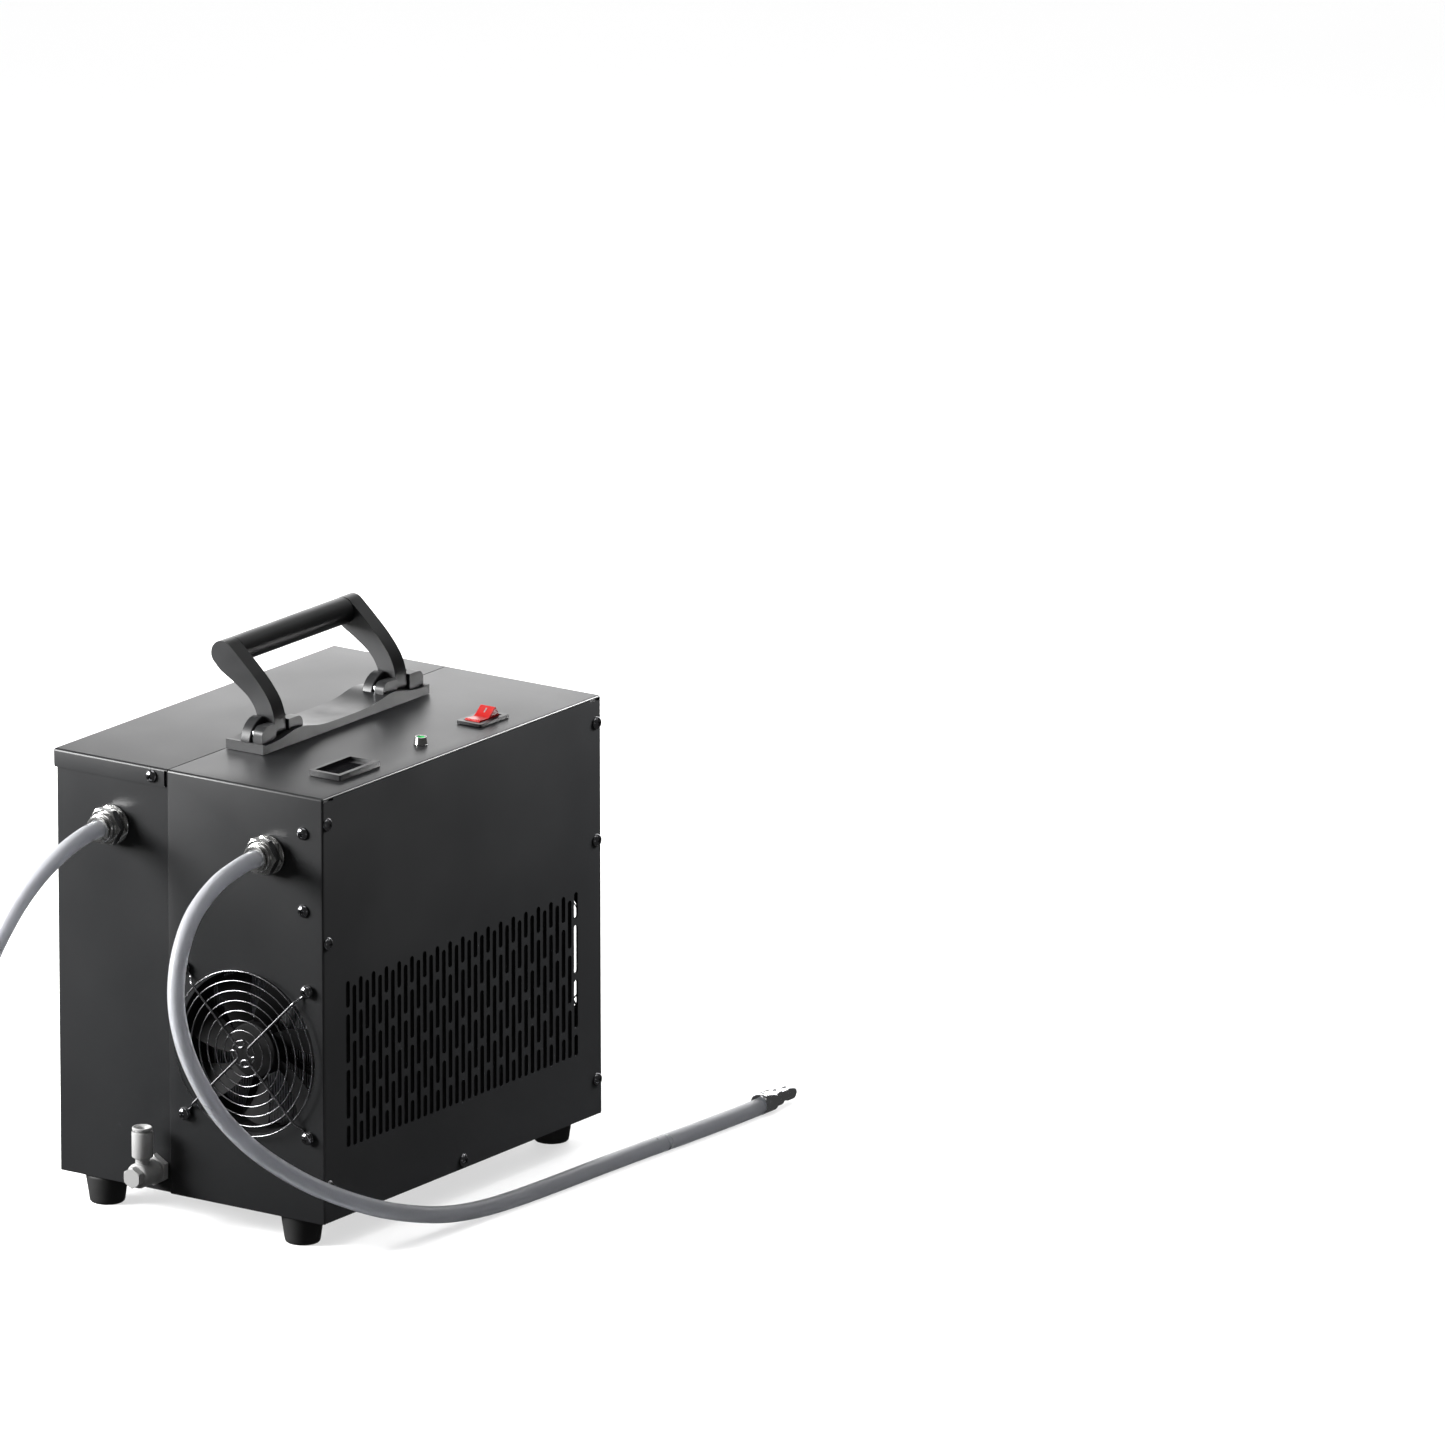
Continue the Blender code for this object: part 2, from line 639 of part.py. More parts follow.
def wire_run(shape, points, wire, sides=3):
    """A solid wire through the points, with flat ends."""
    rings = []
    for i, point in enumerate(points):
        ahead = points[min(i + 1, len(points) - 1)] - points[max(i - 1, 0)]
        side = ahead.cross(Vector((1, 0, 0)))
        if side.length < 1e-6:
            side = Vector((0, 1, 0))
        side.normalize()
        other = ahead.normalized().cross(side)
        rings.append([shape.verts.new(point + wire * (side * math.cos(t) + other * math.sin(t)))
                      for t in (2 * math.pi * (k + 0.25) / sides for k in range(sides))])
    for i in range(1, len(rings)):
        for k in range(sides):
            shape.faces.new((rings[i - 1][k - 1], rings[i - 1][k], rings[i][k],
                             rings[i][k - 1]))
    shape.faces.new(rings[0])
    shape.faces.new(rings[-1][::-1])


def spoke_points(face, out, quarter):
    """Centre line of one spoke, from the eye under its screw to the hook at the middle."""
    turn = math.radians(45 + 90 * quarter)
    across = Vector((0, math.cos(turn), math.sin(turn)))
    aside = Vector((0, -math.sin(turn), math.cos(turn)))
    centre = Vector((face, *FAN_CENTRE))
    reach = FAN_PITCH / math.sqrt(2)
    path = [(reach - 3.6, 0, 1.1), (reach - 8, 0, 1.4), (reach - 12.5, 0, 5.1),
            (reach - 17, 0, 5.5), (34, 0, 5.5), (9.4, 0, 5.5), (5.2, 0.8, 5.5), (3.4, 3.6, 5.5),
            (4.6, 6.6, 5.5), (6.6, 7.4, 5.2)]
    return [centre + across * r + aside * s + Vector((out * x, 0, 0)) for r, s, x in path]


def wire_guard(name, face, out):
    """Concentric wire rings on four spokes, standing off the panel at face."""
    rings = bmesh.new()
    for k in range(RINGS):
        radius = RING_FIRST + k * RING_PITCH
        centre = (face + out * 4.4, *FAN_CENTRE)
        hoop(rings, centre, radius, WIRE, 9 + 2 * k)
    guard = add(name, rings, chrome(), at=(face, *FAN_CENTRE))
    spokes = bmesh.new()
    for quarter in range(4):
        wire_run(spokes, spoke_points(face, out, quarter), WIRE)
    join(guard, spokes)
    eyes = bmesh.new()
    half = FAN_PITCH / 2
    for db in (-half, half):
        for dc in (-half, half):
            hoop(eyes, (face + out * 1.3, FAN_CENTRE[0] + db, FAN_CENTRE[1] + dc), 3.6, WIRE, 7)
    return join(guard, eyes)


def guard_screws():
    """Domed screws through the guard's eyes into the fan's corners."""
    half = FAN_PITCH / 2
    profile = [(0, -5.7), (2.1, -5.5), (3.9, -4.5), (4.6, -3.0), (4.6, -2.5), (1.8, -2.5),
               (1.8, 14.0), (0, 14.0)]
    names = {(-half, -half): "front_low", (-half, half): "front_high",
             (half, -half): "rear_low", (half, half): "rear_high"}
    for (db, dc), name in names.items():
        b, c = FAN_CENTRE[0] + db, FAN_CENTRE[1] + dc
        add(f"guard_screw_{name}", turned("a", b, c, profile, 12), chrome(), at=(0, b, c))


# ---------------------------------------------------------------- air fittings

def air_fitting(name, place, panel):
    """Push-in bulkhead fitting: flanged lock nut, hexagon body and sliding release collar."""
    b, c = place
    nut = add(f"{name}_locknut", sheet("a", panel - 4.3, panel - GAP, hexagon(b, c, 24, 0.25),
                                       [circle(b, c, 7.0, 12)]), chrome(), at=(panel, b, c))
    join(nut, sheet("a", panel - 1.6, panel - GAP, circle(b, c, 13.8, 18),
                    [circle(b, c, 7.0, 12)]))
    body_profile = [(6.6, panel - 5), (10.6, panel - 5), (10.6, COLLAR_FACE + 3.6),
                    (10.0, COLLAR_FACE + 3.0), (8.3, COLLAR_FACE + 3.0), (8.3, -8.0), (4.2, -8.0),
                    (4.2, 16.0), (6.6, 16.0)]
    body = add(f"{name}_fitting", turned("a", b, c, body_profile, 14), chrome(), at=(panel, b, c))
    join(body, sheet("a", panel - 11.4, panel - 4.6, hexagon(b, c, 24.4), [circle(b, c, 9.4, 14)]))
    collar = [(9.4, COLLAR_FACE + 0.6), (9.4, COLLAR_FACE + 1.4), (8.0, COLLAR_FACE + 1.9),
              (8.0, -10.2), (6.4, -10.2), (6.4, COLLAR_FACE), (8.8, COLLAR_FACE)]
    add(f"{name}_collar", turned("a", b, c, collar, 14), chrome(), at=(COLLAR_FACE, b, c))


def drain():
    """Banjo elbow on a hollow bolt, with a push-in port that points up."""
    b, c = DRAIN
    add("drain_nut", sheet("a", -3.7, SHEET - GAP, hexagon(b, c, 19.5), [circle(b, c, 4.2, 16)]),
        white_plastic(), at=(0, b, c))
    bolt = add("drain_bolt", sheet("a", -28.4, -22.9, hexagon(b, c, 13)), white_plastic(),
               at=(0, b, c))
    join(bolt, rod("a", b, c, 3.7, -24, 12, 16))
    elbow = add("drain_elbow", turned("a", b, c, [(4.1, -22.5), (8.2, -22.5), (8.9, -21.7),
                                                  (8.9, -4.1), (4.1, -4.1)], 16),
                white_plastic(), at=(DRAIN_TUBE, b, c))
    port = [(0, c + 7.0), (5.0, c + 7.0), (5.0, c + 11.2), (7.45, c + 12.8), (7.45, c + 31),
            (5.3, c + 31), (5.3, c + 20), (3.2, c + 20), (3.2, c + 11), (0, c + 11)]
    join(elbow, turned("c", DRAIN_TUBE, b, port, 16))
    collar = [(6.6, c + 34.2), (7.1, c + 33.6), (7.1, c + 32.4), (5.0, c + 32.4), (5.0, c + 22.2),
              (3.4, c + 22.2), (3.4, c + 33.4), (4.0, c + 34.2)]
    add("drain_collar", turned("c", DRAIN_TUBE, b, collar, 14), white_plastic(),
        at=(DRAIN_TUBE, b, c + 31))


# ---------------------------------------------------------------- cooling circuit

def compressor():
    a, b = 220.0, 68.0
    shell = [(0, 9), (30, 9), (47, 14), (54, 28), (54, 118), (48, 138), (30, 149), (0, 150)]
    unit = add("compressor", turned("c", a, b, shell, 20), paint("black_enamel",
               (0.02, 0.02, 0.02), 0.35), at=(a, b, 9))
    join(unit, block(a - 48, a + 48, b - 45, b + 45, 7.5, 10.5))


def dust_filter():
    """Foam pad behind the slots."""
    last = SLOT_FIRST + (SLOT_COLUMNS - 2) * SLOT_PITCH
    add("dust_filter", block(27.4, last + 5.2, 3.6, 8.0, SLOT_LOW - 10, SLOT_HIGH + 10),
        paint("black_foam", (0.03, 0.03, 0.03), 0.9))


def condenser():
    """Finned coil in the fan's air stream, with return bends at its rear edge."""
    low, high = 32.0, 58.0
    body = add("condenser", block(low, high, 10, 118, 55, 172), paint("aluminium_fins",
               (0.6, 0.61, 0.62), 0.4, 0.9))
    bends = bmesh.new()
    for k in range(4):
        c = 66 + k * 29
        hoop_c = turned("a", 118, c + 8, [(6.2, high - 16), (10.2, high - 16), (10.2, high - 12),
                                          (6.2, high - 12)], 14)
        mesh = bpy.data.meshes.new("bend")
        hoop_c.to_mesh(mesh)
        hoop_c.free()
        bends.from_mesh(mesh)
        bpy.data.meshes.remove(mesh)
    return join(body, bends)


def cold_parts():
    """Insulated heat exchanger, with the water separator that hangs below it."""
    body = block(60, 262, 146, 216, 150, 276)
    bmesh.ops.bevel(body, geom=body.edges[:], offset=10, segments=2, affect="EDGES")
    add("heat_exchanger", body, paint("black_foam", (0.03, 0.03, 0.03), 0.9))
    separator = [(0, 66), (16, 66), (21, 72), (21, 132), (23, 134), (23, 149.6), (0, 149.6)]
    add("water_separator", turned("c", 92, 181, separator, 20), paint("cast_aluminium",
        (0.5, 0.51, 0.52), 0.5, 0.8), at=(92, 181, 66))
    drier = [(0, 80), (4, 80), (10, 88), (10, 140), (4, 148), (0, 148)]
    add("filter_drier", turned("a", 112, 70, drier, 14), copper(), at=(80, 112, 70))


def pipes():
    tube("air_in_pipe", [(16.4, 45.5, 258.4), (35, 45.5, 258.4), (58, 52, 258.4),
                         (75, 72, 258.4), (80, 105, 258.4), (80, 130, 258.4),
                         (80, 145.4, 258.4)], 10, copper())
    tube("air_out_pipe", [(16.4, *OUTLET), (38, *OUTLET), (59.6, *OUTLET)], 10, copper())
    tube("drain_pipe", [(92, 181, 65.6), (92, 181, 44), (78, 170, 24), (50, 149, 16),
                        (34, *DRAIN), (12.6, *DRAIN)], 6, copper())
    tube("discharge_line", [(205, 68, 150.4), (205, 68, 176), (180, 62, 196), (115, 60, 196),
                            (66, 66, 195), (49, 66, 186), (46, 66, 172.8)], 6, copper(), 1)
    tube("liquid_line", [(58.8, 112, 70), (66, 112, 70), (73, 112, 70), (79.6, 112, 70)], 5,
         copper(), 1)
    tube("capillary_line", [(149.2, 112, 70), (157, 112, 71), (161, 119, 84), (160, 134, 105),
                            (160, 160, 124), (160, 177, 137), (160, 179, 149.4)], 4, copper(), 1)
    tube("suction_line", [(240, 145.4, 200), (240, 118, 200), (240, 92, 194), (238, 80, 172),
                          (238, 78, 150.4)], 8, copper(), 1)


# ---------------------------------------------------------------- hoses

FLOOR = HOSE / 2 - FOOT_HEIGHT         # height of a hose's centre line on the floor

INLET_ROUTE = [
    (COLLAR_FACE - GAP, 45.5, 258.4), (-31, 45.5, 257.6), (-60, 45, 251.5), (-87, 43.5, 238.5),
    (-105, 41, 222), (-117, 38, 201), (-122.5, 34, 177), (-121.5, 28, 151), (-115, 21, 127),
    (-103.5, 13, 103), (-87, 4, 81), (-67, -5, 62), (-41, -15, 43), (-12, -23, 27),
    (20, -30, 12.5), (54, -35, 1), (90, -38, -8), (128, -40, -13.2), (168, -42, FLOOR),
    (214, -44.5, FLOOR), (264, -46, FLOOR), (314, -48, FLOOR), (362, -51, FLOOR),
    (412, -53, FLOOR), (446, -53.5, FLOOR)]

OUTLET_ROUTE = [
    (COLLAR_FACE - GAP, 179.5, 258.0), (-32, 179.5, 257), (-54, 180.5, 251), (-75, 183.5, 240),
    (-92, 188.5, 224), (-105, 195, 203), (-114, 203.5, 177), (-121, 213, 148), (-126, 223, 118),
    (-130, 233, 90), (-134, 242.5, 63), (-138.5, 252, 38), (-144, 262, 14), (-150.5, 273, -2)]

COIL_CENTRE = (-241.7, 263.0)
COIL_OUTER = 84.0                      # radii of the outer and inner turns' centre lines
COIL_INNER = 57.0
PLUG_RADIUS = 7.5


def coil_and_plugs():
    """The stored turns of the outlet hose as one ring, and the couplings on the hose ends."""
    low, high = -FOOT_HEIGHT, HOSE - FOOT_HEIGHT
    inner, outer = COIL_INNER - HOSE / 2, COIL_OUTER + HOSE / 2
    ring = [(inner, low), (outer, low), (outer, high), (inner, high)]
    material = paint("clear_hose", (0.85, 0.87, 0.90), 0.25)
    add("outlet_hose_coil", turned("c", *COIL_CENTRE, ring, 24), material)
    coupling = [(0, 0), (7.0, 0), (7.5, 1.2), (7.5, 15), (5.2, 16), (5.2, 21), (6.0, 22), (6.0, 24),
                (4.4, 26), (4.4, 33), (5.2, 34), (5.2, 39), (3.6, 42), (0, 42)]
    end = INLET_ROUTE[-1]
    plug = [(r, end[0] + GAP + x) for r, x in coupling]
    add("inlet_hose_plug", turned("a", end[1], PLUG_RADIUS - FOOT_HEIGHT, plug, 12), chrome())
    socket = [(r, COIL_CENTRE[0] - GAP - x) for r, x in coupling]
    add("outlet_hose_plug", turned("a", COIL_CENTRE[1] + 64, high + PLUG_RADIUS + GAP, socket, 12),
        chrome())
    tube("inlet_hose", INLET_ROUTE, HOSE, material, 2, 30)
    tube("outlet_hose", OUTLET_ROUTE, HOSE, material, 2, 30)


def build():
    for thing in list(bpy.data.objects):
        bpy.data.objects.remove(thing)
    front_shell()
    grille_panel()
    rear_shell()
    rear_lid()
    base_pan()
    bulkhead()
    feet()
    handle_base()
    carry_handle()
    display()
    indicator()
    switch()
    power_inlet()
    fan_frame()
    fan_rotor()
    wire_guard("fan_guard", 0.0, -1)
    wire_guard("exhaust_guard", LENGTH, 1)
    guard_screws()
    air_fitting("inlet", INLET, 0.0)
    air_fitting("outlet", OUTLET, SHEET)
    drain()
    dust_filter()
    compressor()
    condenser()
    cold_parts()
    pipes()
    coil_and_plugs()


build()
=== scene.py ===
"""Looks of a refrigerated air dryer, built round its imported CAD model.

Cabinet coordinates, in millimetres, are used throughout: a runs along the cabinet from its fan
end, b runs back from the grille face, and c runs up from the cabinet's underside.
"""
import json
import math

import bmesh
import bpy
from mathutils import Matrix, Vector


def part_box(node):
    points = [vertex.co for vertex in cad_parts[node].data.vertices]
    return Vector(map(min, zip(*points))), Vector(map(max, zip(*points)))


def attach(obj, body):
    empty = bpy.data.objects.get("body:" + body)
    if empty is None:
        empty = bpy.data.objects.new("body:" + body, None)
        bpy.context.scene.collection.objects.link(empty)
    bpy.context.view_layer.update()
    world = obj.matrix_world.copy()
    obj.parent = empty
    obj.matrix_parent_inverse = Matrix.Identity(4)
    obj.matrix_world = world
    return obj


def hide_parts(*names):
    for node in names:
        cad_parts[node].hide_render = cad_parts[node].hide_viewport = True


MM = 0.001

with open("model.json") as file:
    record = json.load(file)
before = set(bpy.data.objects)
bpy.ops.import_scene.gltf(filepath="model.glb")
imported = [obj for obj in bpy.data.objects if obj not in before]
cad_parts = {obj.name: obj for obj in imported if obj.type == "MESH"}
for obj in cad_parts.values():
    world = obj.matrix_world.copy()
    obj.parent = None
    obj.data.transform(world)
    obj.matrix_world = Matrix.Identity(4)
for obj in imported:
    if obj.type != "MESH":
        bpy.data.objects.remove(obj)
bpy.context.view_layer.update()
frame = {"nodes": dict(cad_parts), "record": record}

ORIGIN, SHELL_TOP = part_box("front_shell")
LENGTH = (SHELL_TOP.x - ORIGIN.x) / MM
HEIGHT = (SHELL_TOP.z - ORIGIN.z) / MM
WIDTH = (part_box("rear_lid")[1].y - ORIGIN.y) / MM
FOOT_HEIGHT = ORIGIN.z / MM
SEAM = 132.0
SHEET = 1.5
GAP = 0.3
CORNER = 2.0
LID_DEPTH = 13.0

FAN_CENTRE = (65.0, 113.2)
FAN_PITCH = 105.0
FAN_BORE = 115.0
WIRE = 0.9
RING_WIRE = 0.55
RINGS = 8
RING_PITCH = 7.05
RING_FIRST = 9.4

SLOT_COLUMNS = 37
SLOT_FIRST = 28.9
SLOT_PITCH = 7.52
SLOT_WIDTH = 4.4
SLOT_BRIDGE = 4.7
SLOT_LONG = 35.2
SLOT_LOW = 48.8
SLOT_HIGH = 168.2
SLOT_SHORT = 15.8

INLET = (45.5, 258.4)
OUTLET = (179.5, 258.0)
HOSE = 12.0
HOSE_WALL = 2.0
COLLAR_FACE = -17.2
DRAIN = (144.3, 15.6)
DRAIN_TUBE = -15.3

ARM_WIDTH = 13.0
ARM_CENTRES = (93.8, 236.2)
PIVOT = (111.0, 12.0)
GRIP_CENTRE = (148.6, 60.2)
GRIP_RADIUS = 9.5
BASE_SPAN = (67.0, 263.0)
BASE_DEPTH = (99.0, 131.0)

DISPLAY = (43.5, 91.0, 16.5, 43.0)
LED = (153.0, 27.0)
SWITCH = (210.5, 244.9, 17.3, 38.3)
ROCKER_TILT = 17.0

SCREW_RADIUS = 4.55
GUARD_SEAT = 2.4
GRILLE_SCREW_EDGE = 5.6
LID_SCREW_HEIGHT = 298.0
LID_SCREW_EDGE = 22.0

BLADES = 7
BLADE_ROOT = 18.6
BLADE_TIP = 54.5

FLOOR_REACH = 40.0


def spot(a, b, c):
    """World position in metres of a point in cabinet coordinates."""
    return ORIGIN + Vector((a, b, c)) * MM


# ---------------------------------------------------------------- camera

def make_camera():
    """A long lens, level, looking down on the corner between the grille and the fan end."""
    data = bpy.data.cameras.new("camera")
    data.lens = 490.44
    data.clip_start = 0.5
    data.clip_end = 60.0
    camera = bpy.data.objects.new("camera", data)
    camera.location = spot(-10470.39, -7656.09, 3956.80)
    turn, tip = math.radians(55.036), math.radians(15.505)
    ahead = Vector((math.cos(tip) * math.sin(turn), math.cos(tip) * math.cos(turn), -math.sin(tip)))
    camera.rotation_euler = ahead.to_track_quat("-Z", "Y").to_euler()
    bpy.context.scene.collection.objects.link(camera)
    bpy.context.scene.camera = camera


# ---------------------------------------------------------------- materials

def socket(shader, name, value):
    shader.inputs[name].default_value = value


def surface(name, light, dark, rough, metallic=0.0, patch=18.0, grain=900.0, bump=0.12,
            depth=0.0001, spread=0.06, **more):
    """A Principled material: cloudy colour and roughness, and a fine bumpy grain.

    light and dark are the two colours it drifts between, patch and grain are in features a metre.
    """
    made = bpy.data.materials.new(name)
    made.use_nodes = True
    tree = made.node_tree
    shader = tree.nodes["Principled BSDF"]
    socket(shader, "Metallic", metallic)
    for key, value in more.items():
        socket(shader, key, value)
    place = tree.nodes.new("ShaderNodeTexCoord")
    cloud = tree.nodes.new("ShaderNodeTexNoise")
    cloud.inputs["Scale"].default_value = patch
    cloud.inputs["Detail"].default_value = 4.0
    tree.links.new(place.outputs["Object"], cloud.inputs["Vector"])
    tint = tree.nodes.new("ShaderNodeMix")
    tint.data_type = "RGBA"
    tint.inputs["A"].default_value = (*dark, 1.0)
    tint.inputs["B"].default_value = (*light, 1.0)
    tree.links.new(cloud.outputs["Fac"], tint.inputs["Factor"])
    tree.links.new(tint.outputs["Result"], shader.inputs["Base Color"])
    fine = tree.nodes.new("ShaderNodeTexNoise")
    fine.inputs["Scale"].default_value = grain
    fine.inputs["Detail"].default_value = 3.0
    tree.links.new(place.outputs["Object"], fine.inputs["Vector"])
    shine = tree.nodes.new("ShaderNodeMapRange")
    shine.inputs["From Min"].default_value = 0.3
    shine.inputs["From Max"].default_value = 0.7
    shine.inputs["To Min"].default_value = max(0.02, rough - spread)
    shine.inputs["To Max"].default_value = rough + spread
    tree.links.new(cloud.outputs["Fac"], shine.inputs["Value"])
    tree.links.new(shine.outputs["Result"], shader.inputs["Roughness"])
    if bump:
        relief = tree.nodes.new("ShaderNodeBump")
        relief.inputs["Strength"].default_value = bump
        relief.inputs["Distance"].default_value = depth
        tree.links.new(fine.outputs["Fac"], relief.inputs["Height"])
        tree.links.new(relief.outputs["Normal"], shader.inputs["Normal"])
    return made


def finned(name, pitch):
    """Stacked aluminium fins, as fine grooves across the block."""
    made = surface(name, (0.62, 0.63, 0.64), (0.45, 0.46, 0.48), 0.38, 1.0, grain=400.0)
    tree = made.node_tree
    place = tree.nodes["Texture Coordinate"]
    bands = tree.nodes.new("ShaderNodeTexWave")
    bands.bands_direction = "Y"
    bands.inputs["Scale"].default_value = 0.31416 / pitch
    tree.links.new(place.outputs["Object"], bands.inputs["Vector"])
    relief = tree.nodes["Bump"]
    relief.inputs["Strength"].default_value = 0.9
    relief.inputs["Distance"].default_value = 0.0008
    tree.links.new(bands.outputs["Fac"], relief.inputs["Height"])
    return made


def make_materials():
    return {
        "black_paint": surface("powder_coat", (0.012, 0.0125, 0.0135),
                               (0.009, 0.0095, 0.0105), 0.41, patch=9.0, grain=1500.0,
                               bump=0.22, depth=0.00012, spread=0.03),
        "black_plastic": surface("satin_plastic", (0.021, 0.0215, 0.0225), (0.016, 0.0165, 0.0175),
                                 0.37, patch=30.0, grain=2200.0, bump=0.10, depth=0.00006),
        "dark_window": surface("tinted_window", (0.012, 0.012, 0.014), (0.009, 0.009, 0.010), 0.06,
                               patch=40.0, bump=0.0, spread=0.02),
        "chrome": surface("bright_chrome", (0.80, 0.81, 0.83), (0.70, 0.71, 0.73), 0.12, 1.0,
                          patch=120.0, grain=700.0, bump=0.02, spread=0.05),
        "screw": surface("dark_chrome", (0.30, 0.30, 0.31), (0.22, 0.22, 0.23), 0.17, 1.0,
                         patch=200.0, grain=900.0, bump=0.03, spread=0.06),
        # Fan plastic far darker than the other black plastic: painted shade standing in for the
        # shade inside the fan housing.
        "blades": surface("fan_plastic_painted_shade", (0.006, 0.006, 0.0065), (0.004, 0.004, 0.0045), 0.70,
                          patch=30.0, grain=2000.0, bump=0.08, depth=0.00006,
                          **{"Specular IOR Level": 0.25}),
        "wire": surface("dark_wire", (0.36, 0.36, 0.37), (0.26, 0.26, 0.27), 0.22, 1.0,
                        patch=150.0, grain=900.0, bump=0.03, spread=0.06),
        "nickel": surface("bright_nickel", (0.66, 0.66, 0.65), (0.56, 0.56, 0.55), 0.24, 1.0,
                          patch=90.0, grain=600.0, bump=0.05, spread=0.06),
        # Lens colour set near full green: painted glow standing in for the lit indicator LED.
        "green_lens": surface("green_lens", (0.12, 0.95, 0.28), (0.07, 0.85, 0.20), 0.20,
                              patch=400.0, bump=0.0, spread=0.03),
        "white_plastic": surface("white_plastic", (0.52, 0.52, 0.515), (0.46, 0.46, 0.455), 0.34,
                                 patch=60.0, grain=1600.0, bump=0.06),
        "red_plastic": surface("red_plastic", (0.86, 0.035, 0.03), (0.72, 0.02, 0.02), 0.22,
                               patch=90.0, grain=1500.0, bump=0.04),
        "clear_hose": surface("milky_hose", (0.76, 0.77, 0.80), (0.72, 0.73, 0.76), 0.30,
                              patch=25.0, grain=260.0, bump=0.0, spread=0.03,
                              **{"Transmission Weight": 0.50, "IOR": 1.33}),
        "rubber": surface("foot_rubber", (0.030, 0.030, 0.030), (0.020, 0.020, 0.020), 0.62,
                          patch=50.0, grain=1300.0, bump=0.20),
        "zinc_plate": surface("zinc_plate", (0.52, 0.53, 0.54), (0.34, 0.35, 0.37), 0.42, 0.9,
                              patch=70.0, grain=500.0, bump=0.05),
        "copper": surface("copper_tube", (0.75, 0.40, 0.25), (0.52, 0.25, 0.15), 0.30, 1.0,
                          patch=45.0, grain=500.0, bump=0.05),
        "aluminium_fins": finned("aluminium_fins", 0.0022),
        "cast_aluminium": surface("cast_aluminium", (0.50, 0.51, 0.52), (0.38, 0.39, 0.40), 0.50,
                                  0.85, patch=60.0, grain=700.0, bump=0.35, depth=0.0003),
        "black_enamel": surface("black_enamel", (0.022, 0.022, 0.022), (0.014, 0.014, 0.014), 0.28,
                                patch=20.0, grain=300.0, bump=0.08),
        "foam": surface("closed_foam", (0.034, 0.034, 0.034), (0.020, 0.020, 0.020), 0.92,
                        patch=80.0, grain=700.0, bump=0.6, depth=0.0006),
    }


# ---------------------------------------------------------------- shapes

def on_axis(axis, along, u, v):
    if axis == "a":
        return Vector((along, u, v))
    if axis == "b":
        return Vector((u, along, v))
    return Vector((u, v, along))


def block(a0, a1, b0, b1, c0, c1, shape=None):
    shape = shape or bmesh.new()
    size = Vector((a1 - a0, b1 - b0, c1 - c0))
    middle = Vector((a0 + a1, b0 + b1, c0 + c1)) / 2
    bmesh.ops.create_cube(shape, size=1.0,
                          matrix=Matrix.Translation(middle) @ Matrix.Diagonal((*size, 1.0)))
    return shape


def sheet(axis, low, high, outline, holes=()):
    """A flat plate between low and high on an axis, from an outline and holes in (u, v)."""
    shape = bmesh.new()
    edges = []
    for loop in (outline, *holes):
        verts = [shape.verts.new(on_axis(axis, low, u, v)) for u, v in loop]
        edges += [shape.edges.new((verts[i - 1], verts[i])) for i in range(len(verts))]
    bmesh.ops.triangle_fill(shape, use_beauty=True, edges=edges)
    grown = bmesh.ops.extrude_face_region(shape, geom=shape.faces[:])
    moved = [item for item in grown["geom"] if isinstance(item, bmesh.types.BMVert)]
    bmesh.ops.translate(shape, verts=moved, vec=on_axis(axis, high - low, 0.0, 0.0))
    return shape


def turned(axis, u, v, profile, segments=64, shape=None):
    """A solid turned about an axis through (u, v), from (radius, along) points."""
    shape = shape or bmesh.new()
    rings = []
    for radius, along in profile:
        if radius < 1e-6:
            rings.append([shape.verts.new(on_axis(axis, along, u, v))])
            continue
        turns = [2 * math.pi * (i + 0.5) / segments for i in range(segments)]
        rings.append([shape.verts.new(on_axis(axis, along, u + radius * math.cos(t),
                                              v + radius * math.sin(t))) for t in turns])
    count = len(rings) if len(rings[0]) > 1 else len(rings) - 1
    for k in range(count):
        here, there = rings[k], rings[(k + 1) % len(rings)]
        for i in range(segments):
            j = (i + 1) % segments
            if len(here) == 1:
                shape.faces.new((here[0], there[i], there[j]))
            elif len(there) == 1:
                shape.faces.new((here[i], here[j], there[0]))
            else:
                shape.faces.new((here[i], here[j], there[j], there[i]))
    return shape


def rod(axis, u, v, radius, low, high, segments=48, shape=None):
    return turned(axis, u, v, [(0, low), (radius, low), (radius, high), (0, high)], segments, shape)


def circle(u, v, radius, segments=48, start=0.5):
    turn = 2 * math.pi / segments
    return [(u + radius * math.cos(turn * (i + start)), v + radius * math.sin(turn * (i + start)))
            for i in range(segments)]


def hexagon(u, v, across_flats, turn=0.0):
    return circle(u, v, across_flats / math.sqrt(3), 6, turn)


def rectangle(u0, u1, v0, v1, radius=0.0, steps=4):
    if not radius:
        return [(u0, v0), (u1, v0), (u1, v1), (u0, v1)]
    corners = ((u1 - radius, v0 + radius, -90), (u1 - radius, v1 - radius, 0),
               (u0 + radius, v1 - radius, 90), (u0 + radius, v0 + radius, 180))
    return [p for u, v, start in corners for p in arc(u, v, radius, start, start + 90, steps)]


def arc(u, v, radius, start, end, steps):
    angles = [math.radians(start + (end - start) * i / steps) for i in range(steps + 1)]
    return [(u + radius * math.cos(t), v + radius * math.sin(t)) for t in angles]


